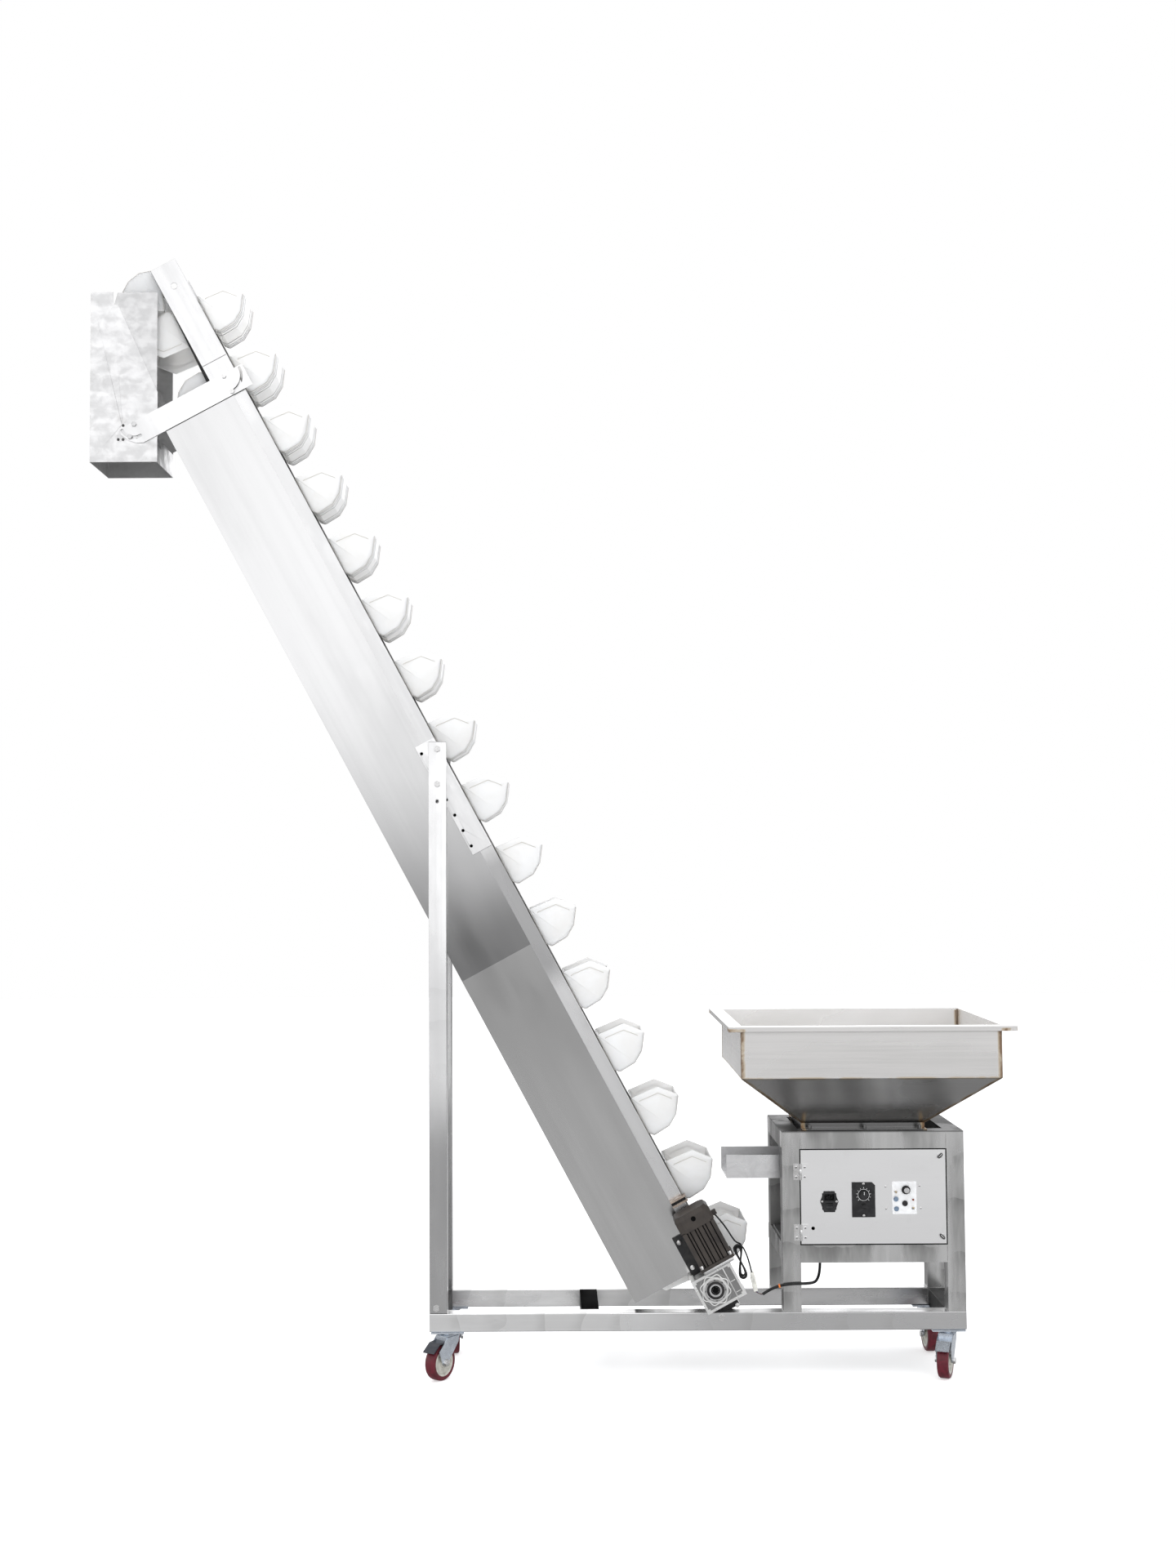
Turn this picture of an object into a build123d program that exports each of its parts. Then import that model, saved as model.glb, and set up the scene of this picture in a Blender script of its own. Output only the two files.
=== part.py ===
"""Inclined bucket conveyor with a vibrating feed hopper, in millimetres.

The frame is +Z up and +X from the discharge end to the feed hopper. Pieces are placed from the left
end of the base at X = 0 and moved together when they are written, so that the origin ends at the
bottom centre of the whole machine. Belt pieces are drawn in the belt frame: x runs up the incline,
y out of the carrying side and z across the machine.
"""
import os
from math import atan2, cos, degrees, pi, radians, sin, tan

from build123d import *

os.makedirs("parts", exist_ok=True)

# Square tube frame
TUBE = 50.0
TUBE_WALL = 2.0
BASE_LENGTH = 1500.0
BASE_WIDTH = 350.0
CASTER_HEIGHT = 130.0
MID_CROSS_X = 450.0

# Casters
WHEEL_RADIUS = 50.0
WHEEL_WIDTH = 32.0
CASTER_TRAIL = 35.0
CASTER_INSET = 50.0
CASTER_PLATE = 4.0
SWIVEL_RING = 6.0
SWIVEL_GAP = 0.1
AXLE_RADIUS = 6.0
HOOD_END = 31.0
FORK_GAP = 3.0
FORK_SHEET = 3.0
FORK_CROWN = 104.0
CASTER_TOWARD = {
    "front_left": (-0.59, -0.81),
    "front_right": (-0.37, -0.93),
    "rear_left": (0.10, -0.995),
    "rear_right": (0.05, -0.999),
}

# Belt: incline in degrees, place of the lower shaft, chain and bucket count
INCLINE = 61.8
TAIL_X = 796.0
TAIL_Z = 252.0
CHAIN_PITCH = 25.4
SPROCKET_TEETH = 8
BUCKET_COUNT = 33
LINKS_PER_BUCKET = 8
CARRYING_BUCKETS = 16
FIRST_BUCKET = 90.0
TRAVEL_UP = 10.0
TRAVEL_DOWN = 88.9

# Conveyor rails, measured across the machine from its middle
RAIL_WIDTH = 80.0
BELT_SIDE_GAP = 6.0
RAIL_OUTER = BASE_WIDTH / 2 - TUBE - BELT_SIDE_GAP
RAIL_WALL = 3.0
RAIL_LIP_INNER = RAIL_OUTER - 17.5
RAIL_LIP = 1.5
HEAD_OVERRUN = 72.0
TAIL_OVERRUN = 89.0
TAIL_SECTION_TOP = 243.0
FLANGE_PLATE = 6.0
FLANGE_PAD = 8.0
TIE_WIDTH = 30.0
TIE_THICKNESS = 6.0
FIRST_TIE = 420.0
TIE_PITCH = 610.0
TIE_COUNT = 5

# Chain, guides and shafts
CHAIN_SET_BACK = 15.0
CHAIN_INNER = RAIL_OUTER - CHAIN_SET_BACK
CHAIN_WIDTH = 8.0
CHAIN_HEIGHT = 10.0
GUIDE_GAP = 0.4
GUIDE_THICKNESS = 10.0
GUIDE_WIDTH = 12.0
GUIDE_INSET = 45.0
ROLLER_RADIUS = 4.0
LINK_PLATE = 0.7
SHAFT_RADIUS = 9.0
HUB_RADIUS = 15.0
BEARING_RADIUS = 28.0
BEARING_THICKNESS = 12.0
BORE_GAP = 0.1

# Buckets: outline from the heel, up the back, over the lip and down the front, about the mounting link
BUCKET_SIDE_GAP = 4.0
BUCKET_LENGTH = 2 * (CHAIN_INNER - BUCKET_SIDE_GAP)
BUCKET_WALL = 3.0
BUCKET_CORNERS = ((-48.0, 2.0), (62.5, 3.5), (55.0, 87.0), (7.0, 128.0), (-37.5, 96.5), (-58.0, 63.0),
                  (-61.0, 13.0))

# Sheet casing round the return run
CASING_SHEET = 1.2
CASING_FRONT = 2.0
CASING_DEPTH = 222.0
CASING_BOTTOM = 52.0
CASING_SPLIT = 1080.0
CASING_TOP = 2905.0

# Prop legs and their brackets
HOLE_PITCH = 50.0
BRACKET_HOLES = 7
BRACKET_LOW = -22.0
BRACKET_HIGH = 38.0
BRACKET_ROW = -13.3
BOLT_HOLE_RADIUS = 4.5
BOLT_RADIUS = 4.0
BOLT_GAP = 0.1
LEG_ABOVE_BOLT = 120.0

# Discharge chute and its arms
CHUTE_LENGTH = 196.0
CHUTE_HEIGHT = 500.0
CHUTE_SHEET = 1.5
CHUTE_LEFT = -982.0
CHUTE_BOTTOM = 2600.0
CHUTE_SIDE_GAP = 0.8
CHUTE_HOLES = ((97.0, 107.0), (83.0, 66.0), (97.0, 66.0), (137.0, 66.0))
OUTLET_LIP = 70.0
ARM_WIDTH = 68.0
ARM_PLATE = 3.0
ARM_GAP = 0.3
ARM_S = 2919.0
ARM_NEAR = 65.0
ARM_FAR = -340.0
ARM_PIVOT = (ARM_S + 27, 3.0)
ARM_CLAMP = (ARM_S - 24, 3.0)
CHUTE_PIVOT = (ARM_S + 27, -292.0)
CHUTE_CLAMP = (ARM_S, -319.5)
SLOT_GAP = 0.5
SLOT_SWEEP = 92.0

# Feed stand and hopper
STAND_LENGTH = 510.0
STAND_HEIGHT = 680.0
STAND_RAIL_Z = 341.0
HOPPER_SHIFT = -18.0
HOPPER_BOX_LENGTH = 720.0
HOPPER_BOX_WIDTH = 578.0
HOPPER_RIM_TOP = STAND_HEIGHT + 305.0
HOPPER_RIM_HEIGHT = 14.0
HOPPER_RIM_OVERHANG = 36.0
HOPPER_BOX_BOTTOM = STAND_HEIGHT + 160.0
HOPPER_SHEET = 2.0
HOPPER_FLANGE = 3.0
NECK_LENGTH = 350.0
NECK_WIDTH = BASE_WIDTH - 110.0
NECK_TOP = STAND_HEIGHT + 16.0
SPOUT_LENGTH = 300.0
SPOUT_WIDTH = 130.0
SPOUT_BOTTOM = STAND_HEIGHT - 95.0

# Feeder tray and its drive
TRAY_WIDTH = 170.0
TRAY_HEIGHT = 65.0
TRAY_SHEET = 2.0
TRAY_FLOOR = STAND_HEIGHT - 144.0
TRAY_OVERHANG = 148.0
TRAY_REACH = 420.0
TRAY_SPINE = 12.0
TRAY_SHAKE_GAP = 0.6
FEEDER_BASE_PLATE = 8.0
SPRING_FOOT = 26.0
SPRING_LEAN = 40.0
SPRING_PLACES = (90.0, 330.0)

# Door with its controls, placed from the door's lower left corner
DOOR_SHEET = 2.0
DOOR_GAP = 2.0
HINGE_HEIGHT = 45.0
HINGE_PLACES = (32.0, 200.0)
HINGE_KNUCKLE = 3.5
PIN_RADIUS = 2.0
BOX_BACK = -100.0
BOX_SHEET = 1.5
BOX_GAP = 0.2
INLET = (79.0, 117.0)
ROCKER = (79.0, 105.5)
ROCKER_WIDTH = 20.0
ROCKER_HEIGHT = 15.0
SPEED = (175.0, 122.0)
RUN_SWITCH = (175.0, 105.0)
RUN_WIDTH = 10.0
RUN_HEIGHT = 12.0
SPEED_KNOB_RISE = 13.5
FEEDER = (289.0, 127.0)
PANEL_PLATE = 3.0
TOGGLES = ((265.0, 145.0), (313.0, 99.0))
TOGGLE_TIP = 12.0
OUTPUT_KNOB = (293.5, 149.0)
ROUND_INSERTS = (((265.0, 124.0), 7.0), ((266.0, 97.0), 7.0), ((290.0, 112.0), 8.0), ((313.0, 122.0), 3.0))
CABLE_HOLE = (33.0, 43.0)
CABLE_HOLE_RADIUS = 5.0
LATCHES = ((391.0, 243.0), (394.0, 19.0))
LATCH_RADIUS = 4.0
LATCH_TURN = 45.0

# Gear motor, on the belt frame's axes
GEARBOX_OFFSET = 20.0
GEARBOX_THICKNESS = 78.0
SLEEVE_RADIUS = 17.0
WORM_OFFSET = 40.0
WORM_HALF = 50.0
MOTOR_SQUARE = 104.0
MOTOR_LENGTH = 174.0
MOTOR_CAP = 48.0
MOTOR_ADAPTER = 10.0
MOTOR_FLANGE = 9.0

# Cords: diameters, gland, and the hank and connector in X and Z
CORD_CONTROL = 8.0
CORD_MOTOR = 4.5
GLAND_INSET = 62.0
GLAND_Y = -112.0
GLAND_HEIGHT = 9.0
HANK_TOP = (859.0, 378.0)
HANK_BOTTOM = (881.0, 268.0)
HANK_WIDTH = 28.0
HANK_DEPTH = 20.0
CONNECTOR_TOP = (901.0, 292.0)
CONNECTOR_BOTTOM = (912.0, 240.0)
CONNECTOR_WIDTH = 14.0
TIE_AT = 2

# Frame values that follow from the sizes above
BASE_BOTTOM = CASTER_HEIGHT
BASE_TOP = BASE_BOTTOM + TUBE
SIDE_Y = BASE_WIDTH / 2 - TUBE / 2
INNER_Y = BASE_WIDTH / 2 - TUBE
OUTER_Y = BASE_WIDTH / 2
SWIVEL_TOP = CASTER_HEIGHT - CASTER_PLATE

# Belt values that follow
BUCKET_PITCH = LINKS_PER_BUCKET * CHAIN_PITCH
TURN_TRAVEL = SPROCKET_TEETH * CHAIN_PITCH
TOOTH_ANGLE = 360 / SPROCKET_TEETH
PITCH_RADIUS = CHAIN_PITCH / 2 / sin(pi / SPROCKET_TEETH)
SHAFT_CENTRES = (BUCKET_COUNT * BUCKET_PITCH - TURN_TRAVEL) / 2
TILT = radians(INCLINE)
UP_BELT = Vector(-cos(TILT), 0, sin(TILT))
OUT_BELT = Vector(sin(TILT), 0, cos(TILT))
BELT = Plane(origin=(TAIL_X, 0, TAIL_Z), x_dir=UP_BELT, z_dir=(0, 1, 0))
RAIL_EDGE = RAIL_WIDTH / 2
CASING_OUTER = RAIL_OUTER + CASING_SHEET
CHAIN_OUTSIDE = PITCH_RADIUS + CHAIN_HEIGHT / 2
CHAIN_INSIDE = PITCH_RADIUS - CHAIN_HEIGHT / 2 - BOLT_GAP - GUIDE_GAP
END_GAP = (CHAIN_OUTSIDE ** 2 - CHAIN_INSIDE ** 2) ** 0.5 + 1
PIN_PAST_HEAD = (FIRST_BUCKET + CHAIN_PITCH / 2 - SHAFT_CENTRES) % CHAIN_PITCH
PIN_ANGLE = 90 - 360 * PIN_PAST_HEAD / TURN_TRAVEL
CARRY_PLACES = [FIRST_BUCKET + k * BUCKET_PITCH for k in range(CARRYING_BUCKETS)]
HEAD_ARC = CARRY_PLACES[-1] + BUCKET_PITCH - SHAFT_CENTRES
HEAD_ANGLE = 90 - 360 * HEAD_ARC / TURN_TRAVEL
RETURN_TOP = SHAFT_CENTRES - (HEAD_ARC + BUCKET_PITCH - TURN_TRAVEL / 2)
RETURN_PLACES = [RETURN_TOP - k * BUCKET_PITCH for k in range(BUCKET_COUNT - CARRYING_BUCKETS - 1)]

# Prop and chute values that follow
LEG_X = TUBE / 2
LEG_BOLT_Z = TAIL_Z + (BRACKET_ROW + (TAIL_X - LEG_X) * sin(TILT)) / cos(TILT)
LEG_BOLT_S = (LEG_BOLT_Z - TAIL_Z) * sin(TILT) + (TAIL_X - LEG_X) * cos(TILT)
LEG_TOP = LEG_BOLT_Z + LEG_ABOVE_BOLT
CHUTE_INNER_Y = CASING_OUTER + CHUTE_SIDE_GAP
CHUTE_OUTER_Y = CHUTE_INNER_Y + CHUTE_SHEET
ARM_FACE = CHUTE_OUTER_Y + ARM_GAP
CHUTE_RIGHT = CHUTE_LEFT + CHUTE_LENGTH
CHUTE_TOP = CHUTE_BOTTOM + CHUTE_HEIGHT
CHUTE_CUT = ((CHUTE_RIGHT, CHUTE_BOTTOM + 205), (CHUTE_LEFT + 80, CHUTE_TOP - 38))

# Stand, door and feeder values that follow
STAND_LEFT = BASE_LENGTH - STAND_LENGTH
STAND_X = BASE_LENGTH - STAND_LENGTH / 2
HOPPER_X = STAND_X + HOPPER_SHIFT
RIM_LENGTH = HOPPER_BOX_LENGTH + 2 * HOPPER_RIM_OVERHANG
RIM_WIDTH = HOPPER_BOX_WIDTH + 2 * HOPPER_RIM_OVERHANG
FEEDER_BASE_TOP = STAND_RAIL_Z + TUBE / 2 + FEEDER_BASE_PLATE
DOOR_X0 = STAND_LEFT + TUBE + DOOR_GAP
DOOR_X1 = BASE_LENGTH - TUBE - DOOR_GAP
DOOR_Z0 = STAND_RAIL_Z + TUBE / 2 + DOOR_GAP
DOOR_Z1 = STAND_HEIGHT - TUBE - DOOR_GAP
DOOR_Y = -OUTER_Y
HINGE_X = DOOR_X0 - DOOR_GAP / 2
HINGE_Y = DOOR_Y - HINGE_KNUCKLE

# Drive and cord values that follow
GEARBOX_NEAR = INNER_Y + GEARBOX_OFFSET
GEARBOX_FAR = GEARBOX_NEAR + GEARBOX_THICKNESS
MOTOR_Y = (GEARBOX_NEAR + GEARBOX_FAR) / 2
LEAD_EXIT = WORM_HALF + MOTOR_LENGTH - MOTOR_CAP
GLAND_X = STAND_LEFT + TUBE + GLAND_INSET
CORD_Y = -OUTER_Y - CORD_CONTROL / 2 - BORE_GAP
CONTROL_ROUTE = ((GLAND_X, GLAND_Y, STAND_RAIL_Z + TUBE / 2 - GLAND_HEIGHT), (GLAND_X, GLAND_Y, 298),
                 (1096, -126, 270), (1082, -158, 259), (1058, CORD_Y, 260), (1000, CORD_Y, 259),
                 (958, CORD_Y, 249), (931, CORD_Y, 231))

# Middle of the finished machine along X
X_CENTRE = (CHUTE_LEFT + HOPPER_X + RIM_LENGTH / 2) / 2
BOTH_SIDES = (-1, 1)


def save(name, *pieces):
    """Write the pieces of one node, moved so that the origin is the machine's bottom centre."""
    solids = [Location((-X_CENTRE, 0, 0)) * solid for piece in pieces for solid in piece.solids()]
    export_step(Compound(label=name, children=solids), f"parts/{name}.step")


def block(x0, x1, y0, y1, z0, z1):
    """Box between two opposite corners."""
    return Pos((x0 + x1) / 2, (y0 + y1) / 2, (z0 + z1) / 2) * Box(abs(x1 - x0), abs(y1 - y0), abs(z1 - z0))


def rod(centre, radius, length, axis):
    """Round bar centred on a point, along an axis."""
    plane = Plane(origin=centre, z_dir=axis)
    return extrude(plane * Circle(radius), length / 2, both=True)


def tube_profile():
    """Section of the frame's square tube."""
    return Rectangle(TUBE, TUBE) - Rectangle(TUBE - 2 * TUBE_WALL, TUBE - 2 * TUBE_WALL)


def tube_x(x0, x1, y, z):
    """Square tube along X."""
    return Pos(x0, y, z) * extrude(Plane.YZ * tube_profile(), x1 - x0)


def tube_y(x, y0, y1, z):
    """Square tube along Y."""
    return Pos(x, y1, z) * extrude(Plane.XZ * tube_profile(), y1 - y0)


def tube_z(x, y, z0, z1):
    """Square tube along Z."""
    return Pos(x, y, z0) * extrude(tube_profile(), z1 - z0)


def on_belt(piece):
    """Move a piece from the belt frame to the machine."""
    return BELT.location * piece


def both(piece):
    """The piece and its mirror image on the other side of the machine."""
    return [piece, mirror(piece, Plane.XZ)]


def hex_bolt(centre, axis, across, head):
    """Six-sided bolt head with its underside on the given point."""
    return extrude(Plane(origin=centre, z_dir=axis) * RegularPolygon(across / 2, 6, major_radius=False), head)


# Base and casters

def base_side_rails():
    """Two long rails of the base."""
    return both(tube_x(0, BASE_LENGTH, -SIDE_Y, BASE_BOTTOM + TUBE / 2))


def base_cross_rails():
    """Cross rails between the long rails, at both ends and under the prop side."""
    inner = BASE_WIDTH / 2 - TUBE
    places = (TUBE / 2, MID_CROSS_X, BASE_LENGTH - TUBE / 2)
    return [tube_y(x, -inner, inner, BASE_BOTTOM + TUBE / 2) for x in places]


def caster_places():
    """Swivel axis and trailing direction of each caster by name."""
    places = {}
    for name, toward in CASTER_TOWARD.items():
        y = -SIDE_Y if name.startswith("front") else SIDE_Y
        x = CASTER_INSET if name.endswith("left") else BASE_LENGTH - CASTER_INSET
        places[name] = (x, y, Vector(toward[0], toward[1], 0).normalized())
    return places


def caster_plates():
    """Bolted top plates with their bearing rings."""
    pieces = []
    for x, y, _ in caster_places().values():
        plate = block(x - 46, x + 46, y - 32, y + 32, SWIVEL_TOP, CASTER_HEIGHT)
        ring = Pos(x, y, SWIVEL_TOP - SWIVEL_RING) * extrude(Circle(24) - Circle(AXLE_RADIUS + BORE_GAP),
                                                             SWIVEL_RING)
        pieces.append(plate + ring)
    return pieces


def caster_frame(x, y, toward):
    """Plane at the swivel axis on the floor, with its x direction where the wheel trails."""
    return Plane(origin=(x, y, 0), x_dir=toward, z_dir=(0, 0, 1))


def caster_fork(plane):
    """Pressed fork with its kingpin and axle."""
    half = WHEEL_WIDTH / 2 + FORK_GAP
    crown_top = SWIVEL_TOP - SWIVEL_RING - SWIVEL_GAP
    outline = Polyline((-25, crown_top - 4), (27, crown_top - 4), (CASTER_TRAIL + 30, WHEEL_RADIUS + 34),
                       (CASTER_TRAIL + 13, WHEEL_RADIUS - 4), (CASTER_TRAIL - 11, WHEEL_RADIUS - 8),
                       (CASTER_TRAIL - 16, WHEEL_RADIUS + 6), (-20, WHEEL_RADIUS + 48), close=True)
    cheek = extrude(Plane.XZ.offset(-half - FORK_SHEET) * make_face(outline), FORK_SHEET)
    hood = block(-25, HOOD_END, -half, half, FORK_CROWN, crown_top)
    axle = rod((CASTER_TRAIL, 0, WHEEL_RADIUS), AXLE_RADIUS, 2 * half + 2 * FORK_SHEET + 10, (0, 1, 0))
    pin = Pos(0, 0, crown_top - 4) * extrude(Circle(AXLE_RADIUS), 9)
    fork = hood + cheek + mirror(cheek, Plane.XZ) + axle + pin
    return plane.location * fork


def caster_wheel(plane):
    """Wheel with its axle bore."""
    section = Circle(WHEEL_RADIUS) - Circle(AXLE_RADIUS + BORE_GAP)
    wheel = Rot(90, 0, 0) * extrude(section, WHEEL_WIDTH / 2, both=True)
    return plane.location * Pos(CASTER_TRAIL, 0, WHEEL_RADIUS) * wheel


def brake_pedal(plane):
    """Foot lever of the wheel brake, between the cheeks of the fork and against its hood."""
    half = WHEEL_WIDTH / 2 + FORK_GAP - BORE_GAP
    x, z = HOOD_END + BORE_GAP / 2, FORK_CROWN
    outline = Polyline((x, z + 4), (x + 28, z + 2), (x + 57, z - 20), (x + 54, z - 22), (x + 27, z - 2),
                       (x, z), close=True)
    lever = extrude(Plane.XZ.offset(-half) * make_face(outline), 2 * half)
    return plane.location * lever


# Conveyor rails

def channel(s0, s1):
    """Lipped channel on the front side, its open side towards the belt."""
    web = block(s0, s1, -RAIL_EDGE, RAIL_EDGE, -RAIL_OUTER, -RAIL_OUTER + RAIL_WALL)
    lips = [block(s0, s1, side * (RAIL_EDGE - RAIL_LIP), side * RAIL_EDGE, -RAIL_OUTER, -RAIL_LIP_INNER)
            for side in BOTH_SIDES]
    return web + lips


def mirrored_belt(pieces):
    """Pieces drawn on the front side in the belt frame, with their rear twins, on the machine."""
    return [on_belt(twin) for piece in pieces for twin in (piece, mirror(piece, Plane.XY))]


def side_rails():
    """Two long rails that carry the chains, with the holes of the head axle, and their tie bars."""
    bottom = TAIL_SECTION_TOP + 2 * FLANGE_PLATE + FLANGE_PAD
    top = SHAFT_CENTRES + HEAD_OVERRUN
    rail = channel(bottom - FLANGE_PLATE, top)
    rail -= rod((SHAFT_CENTRES, 0, -RAIL_OUTER), SHAFT_RADIUS, 4 * RAIL_WALL, (0, 0, 1))
    reach = RAIL_OUTER - RAIL_WALL
    places = [FIRST_TIE + k * TIE_PITCH for k in range(TIE_COUNT)]
    ties = [block(s - TIE_WIDTH / 2, s + TIE_WIDTH / 2, -TIE_THICKNESS / 2, TIE_THICKNESS / 2, -reach, reach)
            for s in places]
    return mirrored_belt([rail]) + [on_belt(tie) for tie in ties]


def tail_rails():
    """Short rails of the tail section."""
    rail = channel(-TAIL_OVERRUN, TAIL_SECTION_TOP)
    rail -= rod((0, 0, -RAIL_OUTER), SHAFT_RADIUS + 3, 4 * RAIL_WALL, (0, 0, 1))
    return mirrored_belt([rail])


def rail_flanges():
    """Pairs of flange tabs with a pad between them, where the tail section bolts to the rails."""
    low, high = CASING_FRONT + 0.5, RAIL_EDGE + 10
    outer, inner = -RAIL_OUTER - 26, -RAIL_OUTER
    pieces = []
    for s in (TAIL_SECTION_TOP - FLANGE_PLATE, TAIL_SECTION_TOP + FLANGE_PAD):
        tab = block(s, s + FLANGE_PLATE, low, high, outer, inner)
        for n in (low + 12, high - 12):
            tab -= block(s - 1, s + FLANGE_PLATE + 1, n - 6, n + 6, outer + 8, outer + 14)
        pieces.append(tab)
    return mirrored_belt(pieces)


def flange_pads():
    """Rubber pads between the flange tabs."""
    pad = block(TAIL_SECTION_TOP, TAIL_SECTION_TOP + FLANGE_PAD, CASING_FRONT + 0.5, RAIL_EDGE + 6,
                -RAIL_OUTER - 22, -RAIL_OUTER)
    return mirrored_belt([pad])


def chain_guides():
    """Sliding strips under both runs of each chain."""
    top = PITCH_RADIUS - CHAIN_HEIGHT / 2 - GUIDE_GAP
    strips = [block(GUIDE_INSET, SHAFT_CENTRES - GUIDE_INSET, side * (top - GUIDE_THICKNESS), side * top,
                    -CHAIN_INNER - GUIDE_WIDTH, -CHAIN_INNER) for side in BOTH_SIDES]
    return mirrored_belt(strips)


def casing(s0, s1):
    """Folded sheet trough round the return run."""
    side = RAIL_OUTER + CASING_SHEET
    back = CASING_FRONT - CASING_DEPTH
    outer = block(s0, s1, back, CASING_FRONT, -side, side)
    inner = block(s0 - 1, s1 + 1, back + CASING_SHEET, CASING_FRONT + 1, -RAIL_OUTER, RAIL_OUTER)
    return on_belt(outer - inner)


def tail_side_plates():
    """Side plates that bolt the tail section inside the base and carry the tail bearings."""
    outer = RAIL_OUTER + CASING_SHEET
    thickness = BASE_WIDTH / 2 - TUBE - outer
    plates = []
    for side in BOTH_SIDES:
        y0, y1 = sorted((side * outer, side * (outer + thickness)))
        face = Plane(origin=(0, y1, 0), x_dir=(1, 0, 0), z_dir=(0, -1, 0))
        body = on_belt(block(-TAIL_OVERRUN, 162, -RAIL_EDGE - 2, RAIL_EDGE - 2, y0, y1))
        low = BASE_BOTTOM + 4
        foot = extrude(face * make_face(Polyline((TAIL_X - 8, low), (TAIL_X + 52, low), (TAIL_X + 52, 190),
                                                 (TAIL_X - 8, 210), close=True)), y1 - y0)
        plate = body + foot
        plate -= rod((TAIL_X, 0, TAIL_Z), SHAFT_RADIUS + 3, BASE_WIDTH, (0, 1, 0))
        plates.append(plate)
    return plates


def shaft_supports():
    """Flange bearings of the drive shaft and the fixed axle of the head."""
    pieces = [on_belt(rod((SHAFT_CENTRES, 0, 0), SHAFT_RADIUS, 2 * RAIL_OUTER, (0, 0, 1)))]
    for side in BOTH_SIDES:
        plane = Plane(origin=(TAIL_X, side * INNER_Y, TAIL_Z), z_dir=(0, side, 0))
        ring = Circle(BEARING_RADIUS) - Circle(SHAFT_RADIUS + BORE_GAP / 2)
        pieces.append(extrude(plane * ring, BEARING_THICKNESS))
    return pieces


# Chains, sprockets and buckets

def sprocket(z0, thickness):
    """Toothed wheel for the double-pitch chain, in the belt frame about the origin."""
    root, tip = PITCH_RADIUS - ROLLER_RADIUS - 0.2, PITCH_RADIUS + ROLLER_RADIUS
    flanks = ((-0.30, root), (-0.14, root), (0.14, root), (0.30, root), (0.44, tip), (0.56, tip))
    points = []
    for k in range(SPROCKET_TEETH):
        for share, radius in flanks:
            angle = radians(PIN_ANGLE + (k + share) * TOOTH_ANGLE)
            points.append((radius * cos(angle), radius * sin(angle)))
    return Pos(0, 0, z0) * extrude(make_face(Polyline(*points, close=True)), thickness)


def wrapped_chain(first_pin):
    """Link plates on the half of a sprocket that the chain goes round, on the front side."""
    reach = PITCH_RADIUS * cos(radians(TOOTH_ANGLE / 2))
    half, end = CHAIN_PITCH / 2, CHAIN_HEIGHT / 2
    waist, tip = half - 2, half + 3
    outline = make_face(Polyline((-end, -waist), (-2, -tip), (2, -tip), (end, -waist),
                                 (end, waist), (2, tip), (-2, tip), (-end, waist), close=True))
    pieces = []
    for k in range(SPROCKET_TEETH // 2):
        spot = Rot(0, 0, first_pin + (k + 0.5) * TOOTH_ANGLE) * Pos(reach, 0)
        inset = LINK_PLATE if k % 2 else 0
        for z in (-CHAIN_INNER - inset, -CHAIN_INNER - CHAIN_WIDTH + LINK_PLATE + inset):
            pieces.append(spot * Pos(0, 0, z - LINK_PLATE) * extrude(outline, LINK_PLATE))
    return pieces


def bucket():
    """Moulded bucket, open towards the top of the belt, about the middle of its mounting link."""
    lift = RAIL_EDGE - PITCH_RADIUS
    corners = [Vector(x, y + lift) for x, y in BUCKET_CORNERS]
    heel, back, _, lip, knee, base, toe = corners
    outline = make_face(Polyline(*corners, close=True))
    reach = 60
    far_back = back + (back - heel).normalized() * reach
    far_lip = lip + (lip - knee).normalized() * reach
    cavity = offset(make_face(Polyline(heel, far_back, far_lip, knee, base, toe, close=True)), -BUCKET_WALL,
                    kind=Kind.INTERSECTION)
    half = BUCKET_LENGTH / 2
    return extrude(outline, half, both=True) - extrude(cavity, half - BUCKET_WALL, both=True)


def lugs():
    """Bent brackets that carry one bucket on its two chains."""
    top = RAIL_EDGE - PITCH_RADIUS + 2.38
    low = -CHAIN_HEIGHT / 2
    half = BUCKET_LENGTH / 2
    section = Polyline((-half + 20, top), (-half + 2, top), (-half + 2, low + 7), (-CHAIN_INNER, low + 7),
                       (-CHAIN_INNER, low + 3), (-half + 5, low + 3), (-half + 5, top - 3),
                       (-half + 20, top - 3), close=True)
    plane = Plane(origin=(-18, 0, 0), x_dir=(0, 0, 1), z_dir=(-1, 0, 0))
    lug = extrude(plane * make_face(section), -36)
    return [lug, mirror(lug, Plane.XY)]


def bucket_run(side, places):
    """Buckets and their brackets on one straight run."""
    turn = Rot(0, 0, 0) if side > 0 else Rot(0, 0, 180)
    spots = [Pos(s, side * PITCH_RADIUS, 0) * turn for s in places]
    shell, bracket = bucket(), lugs()
    shells = [on_belt(spot * shell) for spot in spots]
    brackets = [on_belt(spot * lug) for spot in spots for lug in bracket]
    return shells, brackets


def chain_strands(side, s0, s1):
    """Straight stretch of both chains on one run."""
    middle = side * PITCH_RADIUS
    strand = block(s0, s1, middle - CHAIN_HEIGHT / 2, middle + CHAIN_HEIGHT / 2,
                   -CHAIN_INNER - CHAIN_WIDTH, -CHAIN_INNER)
    return mirrored_belt([strand])


def head_bucket_spot():
    """Place of the bucket that rounds the head."""
    reach = PITCH_RADIUS * cos(pi / SPROCKET_TEETH)
    return Pos(SHAFT_CENTRES, 0, 0) * Rot(0, 0, HEAD_ANGLE - 90) * Pos(0, reach, 0)


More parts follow.
